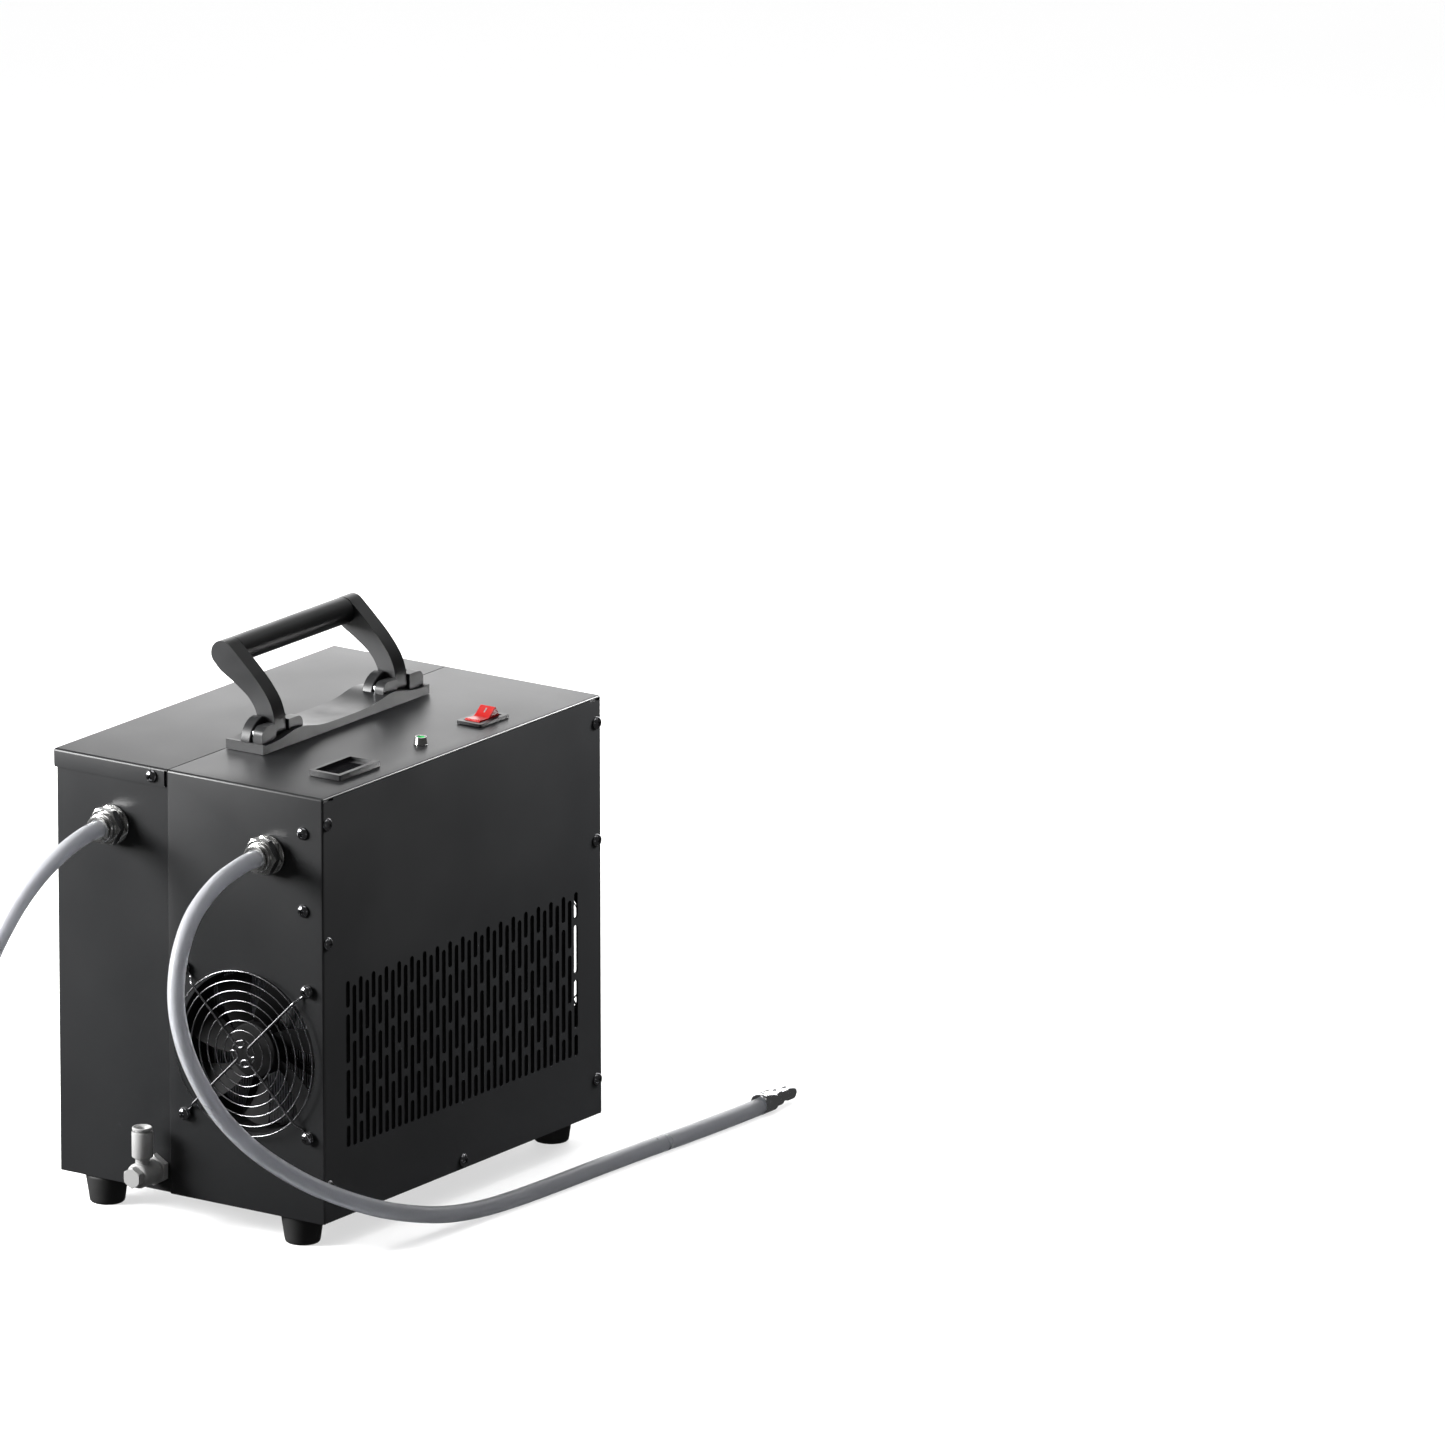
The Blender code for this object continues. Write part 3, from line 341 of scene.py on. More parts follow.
def smooth_path(points, step):
    """Points about one step apart on a smooth curve through the given points."""
    points = [Vector(p) for p in points]
    ends = [2 * points[0] - points[1]] + points + [2 * points[-1] - points[-2]]
    fine = []
    for i in range(1, len(ends) - 2):
        p0, p1, p2, p3 = ends[i - 1:i + 3]
        for k in range(16):
            t = k / 16
            fine.append(0.5 * (2 * p1 + (p2 - p0) * t + (2 * p0 - 5 * p1 + 4 * p2 - p3) * t ** 2
                               + (3 * p1 - p0 - 3 * p2 + p3) * t ** 3))
    fine.append(points[-1])
    lengths = [0.0]
    for i in range(1, len(fine)):
        lengths.append(lengths[-1] + (fine[i] - fine[i - 1]).length)
    count = max(2, round(lengths[-1] / step))
    result = []
    k = 0
    for i in range(count + 1):
        wanted = lengths[-1] * i / count
        while k < len(fine) - 2 and lengths[k + 1] < wanted:
            k += 1
        part = (wanted - lengths[k]) / max(1e-9, lengths[k + 1] - lengths[k])
        result.append(fine[k].lerp(fine[k + 1], min(1.0, part)))
    return result


def pipe(points, radius, sides=12, bore=0.0, shape=None):
    """A round wire through the points, or a tube with a bore, without twist."""
    shape = shape or bmesh.new()
    ahead = (points[1] - points[0]).normalized()
    aside = Vector((0, 0, 1)) if abs(ahead.z) < 0.9 else Vector((1, 0, 0))
    across = ahead.cross(aside).normalized()
    outer, inner = [], []
    for i, point in enumerate(points):
        ahead = (points[min(i + 1, len(points) - 1)] - points[max(i - 1, 0)]).normalized()
        across = (across - ahead * across.dot(ahead)).normalized()
        other = ahead.cross(across)
        turns = [2 * math.pi * k / sides for k in range(sides)]
        ways = [across * math.cos(t) + other * math.sin(t) for t in turns]
        outer.append([shape.verts.new(point + way * radius) for way in ways])
        if bore:
            inner.append([shape.verts.new(point + way * bore) for way in ways])
    for rings in (outer, inner):
        for i in range(1, len(rings)):
            for k in range(sides):
                shape.faces.new((rings[i - 1][k - 1], rings[i - 1][k], rings[i][k],
                                 rings[i][k - 1]))
    for end in (0, -1):
        if bore:
            for k in range(sides):
                shape.faces.new((outer[end][k - 1], outer[end][k], inner[end][k],
                                 inner[end][k - 1]))
        else:
            shape.faces.new(outer[end])
    return shape


def hoop(shape, centre, radius, wire, segments=96, sides=10):
    """A closed ring of wire, square to the cabinet's length."""
    rings = []
    for i in range(segments):
        angle = 2 * math.pi * i / segments
        ring = []
        for k in range(sides):
            turn = 2 * math.pi * k / sides
            reach = radius + wire * math.cos(turn)
            ring.append(shape.verts.new((centre[0] + wire * math.sin(turn),
                                         centre[1] + reach * math.cos(angle),
                                         centre[2] + reach * math.sin(angle))))
        rings.append(ring)
    for i in range(segments):
        for k in range(sides):
            shape.faces.new((rings[i - 1][k - 1], rings[i - 1][k], rings[i][k], rings[i][k - 1]))


# ---------------------------------------------------------------- pieces

MATERIALS = make_materials()


def local(a, b, c):
    """A point in metres about a piece's own origin."""
    return Vector((a, b, c)) * MM


def add_shape(shape, other):
    """Add one bmesh to another."""
    mesh = bpy.data.meshes.new("part")
    other.to_mesh(mesh)
    other.free()
    shape.from_mesh(mesh)
    bpy.data.meshes.remove(mesh)


def raw(name, shape, coat=None, smooth=35.0, where=spot):
    """An object from a bmesh in cabinet millimetres, smooth except at sharp edges."""
    for vert in shape.verts:
        vert.co = where(*vert.co)
    bmesh.ops.recalc_face_normals(shape, faces=shape.faces[:])
    mesh = bpy.data.meshes.new(name)
    shape.to_mesh(mesh)
    shape.free()
    if coat:
        mesh.materials.append(coat)
    mesh.shade_smooth()
    mesh.set_sharp_from_angle(angle=math.radians(smooth))
    thing = bpy.data.objects.new(name, mesh)
    bpy.context.scene.collection.objects.link(thing)
    return thing


def apply_modifiers(thing):
    """Replace an object's mesh by what its modifiers make of it."""
    graph = bpy.context.evaluated_depsgraph_get()
    graph.update()
    mesh = bpy.data.meshes.new_from_object(thing.evaluated_get(graph))
    old = thing.data
    thing.modifiers.clear()
    thing.data = mesh
    bpy.data.meshes.remove(old)
    return mesh


def settle(thing, smooth=35.0):
    """Apply an object's modifiers, then shade it smooth except at sharp edges."""
    mesh = apply_modifiers(thing)
    mesh.name = thing.name
    mesh.shade_smooth()
    mesh.set_sharp_from_angle(angle=math.radians(smooth))
    return thing


def carve(thing, shape, operation="DIFFERENCE", smooth=35.0, where=spot):
    """Cut a shape from an object, join it on, or keep only what they share."""
    tool = raw(thing.name + "_tool", shape, where=where)
    modifier = thing.modifiers.new("Boolean", "BOOLEAN")
    modifier.operation = operation
    modifier.solver = "EXACT"
    modifier.object = tool
    settle(thing, smooth)
    mesh = tool.data
    bpy.data.objects.remove(tool)
    bpy.data.meshes.remove(mesh)
    return thing


def soften(thing, width, segments=3, angle=40.0):
    """Round an object's sharp edges; width is in millimetres."""
    thing.data.shade_smooth()
    modifier = thing.modifiers.new("Bevel", "BEVEL")
    modifier.width = width * MM
    modifier.segments = segments
    modifier.limit_method = "ANGLE"
    modifier.angle_limit = math.radians(angle)
    modifier.harden_normals = True
    modifier.use_clamp_overlap = True
    apply_modifiers(thing)
    return thing


def place(thing, finish, body="cabinet", instead=(), coat=None):
    """Give a piece its finish, the body it moves with, and the CAD nodes it stands for."""
    if not thing.data.materials:
        thing.data.materials.append(MATERIALS[coat or finish])
    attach(thing, body)
    if instead:
        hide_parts(*instead)
    return thing


def coat_cad_nodes():
    """Every carried-over CAD node gets the procedural finish of its slot, except the fan frame,
    which gets the darkened fan plastic: painted shade for the shade inside the fan housing.
    """
    for part in frame["record"]["subparts"]:
        thing = frame["nodes"][part["node"]]
        finish = "blades" if part["node"] == "fan_frame" else part["material_slot"]
        for holder in thing.material_slots:
            holder.material = MATERIALS[finish]


# ---------------------------------------------------------------- hoses

FLOOR = HOSE / 2 - FOOT_HEIGHT

INLET_ROUTE = [
    (COLLAR_FACE - GAP, 45.5, 258.4), (-31, 45.5, 257.6), (-60, 45, 251.5), (-87, 43.5, 238.5),
    (-105, 41, 222), (-117, 38, 201), (-122.5, 34, 177), (-121.5, 28, 151), (-115, 21, 127),
    (-103.5, 13, 103), (-87, 4, 81), (-67, -5, 62), (-41, -15, 43), (-12, -23, 27),
    (20, -30, 12.5), (54, -35, 1), (90, -38, -8), (128, -40, -13.2), (168, -42, FLOOR),
    (214, -44.5, FLOOR), (264, -46, FLOOR), (314, -48, FLOOR), (362, -51, FLOOR),
    (412, -53, FLOOR), (446, -53.5, FLOOR)]

OUTLET_ROUTE = [
    (COLLAR_FACE - GAP, 179.5, 258.0), (-32, 179.5, 257), (-54, 180.5, 251), (-75, 183.5, 240),
    (-92, 188.5, 224), (-105, 195, 203), (-114, 203.5, 177), (-121, 213, 148), (-126, 223, 118),
    (-130, 233, 90), (-134, 242.5, 63), (-138.5, 252, 38), (-144, 262, 14), (-150.5, 273, -2)]

COIL_CENTRE = (-241.7, 263.0)
COIL_OUTER = 84.0
PLUG_RADIUS = 7.5
COUPLING = [(0, 0), (7.0, 0), (7.5, 0.8), (7.5, 3.4), (7.1, 3.8), (7.1, 5.0), (7.5, 5.4),
            (7.5, 14.6), (7.1, 15.2), (5.2, 16), (5.2, 21), (6.0, 22), (6.0, 24), (4.4, 26),
            (4.4, 33), (5.2, 34), (5.2, 39), (3.6, 42), (0, 42)]


def coil_points():
    """From the end of the hanging part round the coil, and up onto it at the hose's end."""
    start, turns, pitch = 30.0, 2.167, 12.4
    points = [(-154, 279, -7), (-161, 291, -12.5)]
    steps = 60
    for i in range(steps + 1):
        part = i / steps
        angle = math.radians(start + 360 * turns * part)
        radius = COIL_OUTER - pitch * turns * part
        height = FLOOR
        left = turns * (1 - part) * 360
        if left < 90:
            rise = 1 - left / 90
            radius += 6.9 * rise ** 2
            height += 13.8 * rise * rise * (3 - 2 * rise)
        points.append((COIL_CENTRE[0] + radius * math.cos(angle),
                       COIL_CENTRE[1] + radius * math.sin(angle), height))
    return points


def hose(name, points, exit_at, nodes):
    """One air hose with its bore."""
    path = smooth_path([(exit_at[0] + 7.0, *exit_at[1:])] + points, 4.0)
    thing = raw(name, pipe(path, HOSE / 2, 28, HOSE / 2 - HOSE_WALL))
    place(thing, "clear_hose", instead=nodes)
    return thing


def coupling(name, axis_at, face, way):
    """Turned quick coupling on the end of a hose."""
    profile = [(radius, face + way * along) for radius, along in COUPLING]
    return place(raw(name + "_turned", turned("a", *axis_at, profile)), "chrome", instead=(name,))


def make_hoses():
    end = INLET_ROUTE[-1]
    plug = coupling("inlet_hose_plug", (end[1], PLUG_RADIUS - FOOT_HEIGHT), end[0] + GAP, 1)
    hose("inlet_air_hose", INLET_ROUTE, (COLLAR_FACE, *INLET), ("inlet_hose",))
    top = HOSE - FOOT_HEIGHT + PLUG_RADIUS + GAP
    plug = coupling("outlet_hose_plug", (COIL_CENTRE[1] + 64, top), COIL_CENTRE[0] - GAP, -1)
    hose("outlet_air_hose", OUTLET_ROUTE + coil_points(), (COLLAR_FACE, *OUTLET),
         ("outlet_hose", "outlet_hose_coil"))


# ---------------------------------------------------------------- cabinet

def slot_rows(column):
    if column % 2:
        starts = [SLOT_LOW + k * (SLOT_LONG + SLOT_BRIDGE) for k in range(3)]
        return [(start, start + SLOT_LONG) for start in starts]
    rows = [(SLOT_LOW, SLOT_LOW + SLOT_SHORT)]
    while rows[-1][1] < SLOT_HIGH:
        start = rows[-1][1] + SLOT_BRIDGE
        rows.append((start, min(SLOT_HIGH, start + SLOT_LONG)))
    return rows


def grille_panel():
    """The front panel, with rounded upright slots in staggered columns."""
    low, high, notch = SHEET + GAP, HEIGHT - SHEET - GAP, 1.6
    far, reach = LENGTH - low, 11.0
    outline = [(low, GAP), (far, GAP), (far, high - notch), (far - reach, high - notch),
               (far - reach, high), (low + reach, high), (low + reach, high - notch),
               (low, high - notch)]
    holes = []
    half = SLOT_WIDTH / 2
    for column in range(SLOT_COLUMNS):
        a = SLOT_FIRST + column * SLOT_PITCH
        for bottom, top in slot_rows(column):
            holes.append(arc(a, top - half, half, 0, 180, 8)
                         + arc(a, bottom + half, half, 180, 360, 8))
    thing = raw("grille_panel_slotted", sheet("b", 0, SHEET, outline, holes), smooth=30.0)
    return place(thing, "black_paint", instead=("grille_panel",))


def feet():
    profile = [(0, -GAP), (14.2, -GAP), (14.8, -0.7), (15, -1.4), (14.9, -2.6), (12.5, -18.6),
               (12.2, -19.9), (11.3, -20.8), (10.6, -21), (5, -21), (4.6, -20.6), (4.5, -13),
               (0, -13)]
    for end, a in (("left", 17.0), ("right", LENGTH - 17.0)):
        for side, b in (("front", 31.0), ("rear", WIDTH - 31.0)):
            name = f"foot_{side}_{end}"
            place(raw(name + "_moulded", turned("c", a, b, profile), smooth=50), "rubber",
                  instead=(name,))


def front_shell():
    """Top and both ends of the front half, with folded front edges and flanges."""
    outline = [(0, 0), (LENGTH, 0)]
    outline += arc(LENGTH - CORNER, HEIGHT - CORNER, CORNER, 0, 90, 6)
    outline += arc(CORNER, HEIGHT - CORNER, CORNER, 90, 180, 6)
    shape = sheet("b", 0, SEAM - GAP / 2, outline)
    front = [e for e in shape.edges if all(abs(v.co.y) < 1e-3 for v in e.verts)
             and len(e.link_faces) == 2 and e.calc_face_angle() > 0.7
             and max(v.co.z for v in e.verts) > 1]
    bmesh.ops.bevel(shape, geom=front, offset=1.2, segments=4, profile=0.5, affect="EDGES")
    rear = [e for e in shape.edges if all(abs(v.co.y - SEAM + GAP / 2) < 1e-3 for v in e.verts)
            and len(e.link_faces) == 2 and e.calc_face_angle() > 0.7
            and max(v.co.z for v in e.verts) > 1]
    bmesh.ops.bevel(shape, geom=rear, offset=0.7, segments=3, profile=0.5, affect="EDGES")
    shell = raw("front_shell_folded", shape, smooth=30.0)
    inside = LENGTH - SHEET
    carve(shell, block(SHEET, inside, -1, SHEET + GAP, -1, HEIGHT - SHEET))
    carve(shell, block(13.5, LENGTH - 13.5, 1, 4, -1, HEIGHT - 13.5))
    carve(shell, block(SHEET, inside, 2 * SHEET + GAP, SEAM + 1, -1, HEIGHT - SHEET))
    b, c = FAN_CENTRE
    openings = rod("a", b, c, FAN_BORE / 2, -1, 3, 128)
    rod("a", b, c, FAN_BORE / 2, LENGTH - 3, LENGTH + 1, 128, openings)
    rod("a", *INLET, 7.0, -1, 3, 32, openings)
    rod("c", *LED, 4.3, HEIGHT - 3, HEIGHT + 1, 32, openings)
    a0, a1, b0, b1 = DISPLAY
    block(a0 + 2, a1 - 2, b0 + 2, b1 - 2, HEIGHT - 3, HEIGHT + 1, openings)
    a0, a1, b0, b1 = SWITCH
    block(a0 + 2.4, a1 - 2.4, b0 + 2, b1 - 2, HEIGHT - 3, HEIGHT + 1, openings)
    carve(shell, openings, smooth=30.0)
    return place(shell, "black_paint", instead=("front_shell",))


def rear_shell():
    """Both ends and the back of the rear half, with folded corners."""
    out, back = SHEET, WIDTH - SHEET
    front = SEAM + GAP / 2
    outline = [(out, front)] + arc(out + 2, back - 2, 2, 180, 90, 5)
    outline += arc(LENGTH - out - 2, back - 2, 2, 90, 0, 5) + [(LENGTH - out, front)]
    outline += [(LENGTH - out - SHEET, front), (LENGTH - out - SHEET, back - SHEET),
                (out + SHEET, back - SHEET), (out + SHEET, front)]
    shell = raw("rear_shell_folded", sheet("c", GAP, HEIGHT - SHEET - GAP, outline), smooth=30.0)
    openings = rod("a", *OUTLET, 7.0, 0, 5, 32)
    rod("a", *DRAIN, 4.2, 0, 5, 24, openings)
    block(271.5, 298.5, back - 3, back + 1, 30, 50, openings)
    carve(shell, openings)
    vents = bmesh.new()
    for row in range(2):
        for column in range(8):
            a = 86.5 + column * 13
            low, high = 50 + row * 40, 84 + row * 40
            slot = arc(a, high - 2.5, 2.5, 0, 180, 6) + arc(a, low + 2.5, 2.5, 180, 360, 6)
            add_shape(vents, sheet("b", back - 3, back + 1, slot))
    carve(shell, vents, smooth=30.0)
    return place(shell, "black_paint", instead=("rear_shell",))


def rear_lid():
    """Shallow cap over the rear half."""
    low = HEIGHT - LID_DEPTH
    outline = [(0, low), (LENGTH, low)]
    outline += arc(LENGTH - CORNER, HEIGHT - CORNER, CORNER, 0, 90, 6)
    outline += arc(CORNER, HEIGHT - CORNER, CORNER, 90, 180, 6)
    shape = sheet("b", SEAM + GAP / 2, WIDTH, outline)
    back = [e for e in shape.edges if all(abs(v.co.y - WIDTH) < 1e-3 for v in e.verts)
            and len(e.link_faces) == 2 and e.calc_face_angle() > 0.7
            and max(v.co.z for v in e.verts) > low + 1]
    bmesh.ops.bevel(shape, geom=back, offset=1.6, segments=4, profile=0.5, affect="EDGES")
    lid = raw("rear_lid_folded", shape, smooth=30.0)
    wall = SHEET - GAP
    carve(lid, block(wall, LENGTH - wall, SEAM - 1, WIDTH - wall, low - 1, HEIGHT - wall))
    reliefs = block(-1, wall + 0.5, SEAM - 1, SEAM + 2.6, low - 1, HEIGHT - wall)
    block(LENGTH - wall - 0.5, LENGTH + 1, SEAM - 1, SEAM + 2.6, low - 1, HEIGHT - wall, reliefs)
    carve(lid, reliefs, smooth=30.0)
    return place(lid, "black_paint", instead=("rear_lid",))


# ---------------------------------------------------------------- screws

def screw_mesh():
    """A domed head with a cross recess, standing on the plane z = 0."""
    profile = [(0, 3.1)]
    for i in range(1, 9):
        t = math.radians(90 * i / 8)
        profile.append((SCREW_RADIUS * math.sin(t), 0.5 + 2.6 * math.cos(t)))
    profile += [(SCREW_RADIUS, 0.0), (1.8, 0.0), (1.8, -3.0), (0, -3.0)]
    head = raw("screw_head", turned("c", 0, 0, profile, 48), MATERIALS["screw"], where=local)
    for long, wide in ((2.4, 0.5), (0.5, 2.4)):
        slot = block(-long, long, -wide, wide, 1.2, 4)
        for vert in slot.verts:
            if vert.co.z < 2:
                vert.co.x *= 0.7
                vert.co.y *= 0.7
        carve(head, slot, smooth=30.0, where=local)
    mesh = head.data
    bpy.data.objects.remove(head)
    return mesh


def screw(name, mesh, at, out, turn=0.0, instead=()):
    """One screw with its head's seat at a point, facing out along a cabinet direction."""
    thing = bpy.data.objects.new(name, mesh)
    bpy.context.scene.collection.objects.link(thing)
    spin = Matrix.Rotation(math.radians(turn), 4, "Z")
    thing.matrix_world = (Matrix.Translation(spot(*at))
                          @ Vector(out).to_track_quat("Z", "Y").to_matrix().to_4x4() @ spin)
    return place(thing, "chrome", instead=instead)


def screws():
    mesh = screw_mesh()
    half = FAN_PITCH / 2
    b, c = FAN_CENTRE
    corners = {"front_low": (-half, -half), "front_high": (-half, half),
               "rear_low": (half, -half), "rear_high": (half, half)}
    turns = iter((20, 65, 38, 5, 50, 72, 14, 33, 58, 81, 27, 44, 9, 62, 36, 18, 75, 52, 3, 29, 66,
                  41, 12, 55))
    for name, (db, dc) in corners.items():
        screw(f"screw_guard_{name}", mesh, (-GUARD_SEAT, b + db, c + dc), (-1, 0, 0), next(turns),
              (f"guard_screw_{name}",))
        screw(f"screw_exhaust_{name}", mesh, (LENGTH + GUARD_SEAT, b + db, c + dc), (1, 0, 0),
              next(turns))
    for side, a in (("left", GRILLE_SCREW_EDGE), ("right", LENGTH - GRILLE_SCREW_EDGE)):
        for level, c in (("high", 285.3), ("middle", 200.2), ("low", 26.0)):
            screw(f"screw_grille_{side}_{level}", mesh, (a, 0, c), (0, -1, 0), next(turns))
    screw("screw_grille_bottom", mesh, (163.7, 0, 6.4), (0, -1, 0), next(turns))
    for side, a, out in (("left", 0, -1), ("right", LENGTH, 1)):
        for level, b, c in (("high", 16.4, 277.7), ("low", 16.2, 222.4),
                            ("lid", 145.1, LID_SCREW_HEIGHT)):
            screw(f"screw_end_{side}_{level}", mesh, (a, b, c), (out, 0, 0), next(turns))
    for side, a in (("left", LID_SCREW_EDGE), ("right", LENGTH - LID_SCREW_EDGE)):
        screw(f"screw_back_{side}_lid", mesh, (a, WIDTH, LID_SCREW_HEIGHT), (0, 1, 0), next(turns))


# ---------------------------------------------------------------- carry handle

def base_height(a):
    off = abs(a - LENGTH / 2)
    if off > 94:
        return 7.2
    return 6.2 + 4.6 * math.exp(-((off - 55) / 19) ** 2)


def cheek_shapes(arm, side):
    inner = arm + side * (ARM_WIDTH / 2 + 1.0)
    outer = arm + side * (ARM_WIDTH / 2 + 17.3)
    top = HEIGHT
    corner = outer - side * 6
    turn = (0, 90) if side > 0 else (180, 90)
    block_face = [(inner, top + 3), (outer, top + 3)]
    block_face += arc(corner, top + 12, 6, *turn, 10)
    block_face += [(inner, top + 18)]
    rib_face = [(inner, top + 3), (outer, top + 3), (outer, top + 6)]
    rib_face += [(inner + side * 16.3 * math.cos(t), top + 6 + 16.0 * math.sin(t))
                 for t in (math.radians(6 * k) for k in range(1, 15))]
    rib_face += [(inner, top + 22)]
    web_face = [(inner, top + 3), (outer - side * 2, top + 3), (outer - side * 2, top + 10),
                (outer - side * 6, top + 15.4), (inner, top + 15.4)]
    return ((sheet("b", 102, 109.6, block_face), 1.0), (sheet("b", 112.4, 121, rib_face), 1.0),
            (sheet("b", 109, 113, web_face), 0.3))


def gather(name, things):
    """Put several objects' meshes into one object."""
    shape = bmesh.new()
    for thing in things:
        shape.from_mesh(thing.data)
        mesh = thing.data
        bpy.data.objects.remove(thing)
        bpy.data.meshes.remove(mesh)
    mesh = bpy.data.meshes.new(name)
    shape.to_mesh(mesh)
    shape.free()
    thing = bpy.data.objects.new(name, mesh)
    bpy.context.scene.collection.objects.link(thing)
    return thing


def handle_base():
    a0, a1 = BASE_SPAN
    steps = 98
    along = [a0 + (a1 - a0) * i / steps for i in range(steps + 1)]
    outline = [(a0, HEIGHT + GAP), (a1, HEIGHT + GAP)]
    outline += [(a, HEIGHT + base_height(a)) for a in reversed(along)]
    b0, b1 = BASE_DEPTH
    body = raw("base", sheet("b", b0, b1, outline), smooth=30.0)
    soften(body, 0.8, 3, 50)
    parts = [body]
    for arm in ARM_CENTRES:
        for side in (-1, 1):
            for shape, edge in cheek_shapes(arm, side):
                parts.append(soften(raw("cheek", shape, smooth=30.0), edge, 3, 40))
    return place(gather("handle_base_moulded", parts), "black_plastic", instead=("handle_base",))


def arm_outline():
    top = HEIGHT
    foot = arc(PIVOT[0], top + PIVOT[1], 7.4, 180, 360, 20)
    head = arc(GRIP_CENTRE[0], top + GRIP_CENTRE[1], GRIP_RADIUS + 0.1, -35, 125, 24)
    rear = [(PIVOT[0] + 7.4, PIVOT[1]), (119.5, 22.6), (126.0, 32.6), (138.0, 41.4),
            (150.0, 48.6), (156.4, 54.8)]
    front = [(143.1, 68.1), (130.8, 57.2), (118.6, 45.4), (109.0, 33.2), (104.6, 22.0),
             (PIVOT[0] - 7.4, PIVOT[1])]
    rear = [(p.x, p.y + top) for p in smooth_path([(u, v, 0) for u, v in rear], 1.6)]
    front = [(p.x, p.y + top) for p in smooth_path([(u, v, 0) for u, v in front], 1.6)]
    return foot + rear[1:-1] + head + front[1:-1]


def carry_handle():
    for name, a in zip(("left", "right"), ARM_CENTRES):
        half = ARM_WIDTH / 2
        arm = raw(f"handle_arm_{name}_moulded", sheet("a", a - half, a + half, arm_outline()),
                  smooth=50.0)
        soften(arm, 1.9, 4, 50)
        place(arm, "black_plastic", "carry_handle", (f"handle_arm_{name}",))
    low = ARM_CENTRES[0] + ARM_WIDTH / 2 + GAP
    high = ARM_CENTRES[1] - ARM_WIDTH / 2 - GAP
    r = GRIP_RADIUS
    profile = [(0, low), (r - 0.5, low), (r, low + 0.5), (r, high - 0.5), (r - 0.5, high),
               (0, high)]
    grip = raw("handle_grip_moulded",
               turned("a", GRIP_CENTRE[0], HEIGHT + GRIP_CENTRE[1], profile, 96))
    place(grip, "black_plastic", "carry_handle", ("handle_grip",))


# ---------------------------------------------------------------- controls

def display():
    a0, a1, b0, b1 = DISPLAY
    rim = 3.2
    bezel = raw("display_frame", sheet("c", HEIGHT + GAP, HEIGHT + 4.3,
                                       rectangle(a0, a1, b0, b1, 0.9),
                                       [rectangle(a0 + rim, a1 - rim, b0 + rim, b1 - rim, 0.5)]))
    place(soften(bezel, 0.4), "black_plastic", instead=("display_bezel",))


def indicator():
    a, b = LED
    top = HEIGHT
    shell = [(5.0, top + GAP), (5.0, top + 0.7), (4.8, top + 1.1), (4.05, top + 5.3),
             (3.9, top + 5.6), (3.5, top + 5.6), (3.3, top + 5.4), (3.3, top - 10), (4.0, top - 10),
             (4.0, top + GAP)]
    place(raw("led_cone", turned("c", a, b, shell)), "chrome", instead=("led_bezel",),
          coat="nickel")
    lens = [(0, top - 9), (3.0, top - 9), (3.0, top + 4.9), (2.7, top + 5.2), (2.2, top + 5.1),
            (1.8, top + 4.4), (1.2, top + 4.1), (0, top + 4.0)]
    # The lens carries a near-full green colour: painted glow standing in for the lit LED.
    place(raw("led_insert", turned("c", a, b, lens, 32)), "green_lens", instead=("led_lens",))


def switch():
    a0, a1, b0, b1 = SWITCH
    top = HEIGHT
    a, b = (a0 + a1) / 2, (b0 + b1) / 2
    housing = raw("switch_frame", sheet("c", top + GAP, top + 2.5, rectangle(a0, a1, b0, b1, 1.6),
                                        [rectangle(a - 13.2, a + 13.2, b - 6.9, b + 6.9)]))
    soften(housing, 0.7, 4)
    well = raw("well", block(a - 14.7, a + 14.7, b - 8.2, b + 8.2, top - 18, top + 0.6))
    carve(well, block(a - 13.2, a + 13.2, b - 6.9, b + 6.9, top - 14, top + 5))
    place(gather("switch_frame_moulded", [housing, well]), "black_plastic",
          instead=("switch_housing",))
    tilt = math.radians(ROCKER_TILT)
    pivot = (a, top - 3.0)

    def tilted(u, v):
        return (pivot[0] + u * math.cos(tilt) - v * math.sin(tilt),
                pivot[1] + u * math.sin(tilt) + v * math.cos(tilt))

    half_face = [(0, 6.6), (1.5, 6.75), (9.4, 9.9), (10.2, 9.6), (12.1, 3.0), (12.1, -3.0),
                 (0, -7.0)]
    face = half_face + [(-u, v) for u, v in half_face[-2:0:-1]]
    rocker = raw("rocker", sheet("b", b - 6.4, b + 6.4, [tilted(*p) for p in face]), smooth=20.0)
    place(soften(rocker, 0.5, 3, 35), "red_plastic", "power_rocker", ("switch_rocker",))
    low, high = tilted(4.0, 7.75), tilted(7.6, 9.18)
    lift = (-math.sin(tilt + 0.4) * 0.12, math.cos(tilt + 0.4) * 0.12)
    outline = [(low[0] - lift[0], low[1] - lift[1]), (high[0] - lift[0], high[1] - lift[1]),
               (high[0] + lift[0], high[1] + lift[1]), (low[0] + lift[0], low[1] + lift[1])]
    bar = raw("rocker_mark", sheet("b", b - 0.45, b + 0.45, outline))
    place(bar, "white_plastic", "power_rocker")


# ---------------------------------------------------------------- fan and guards

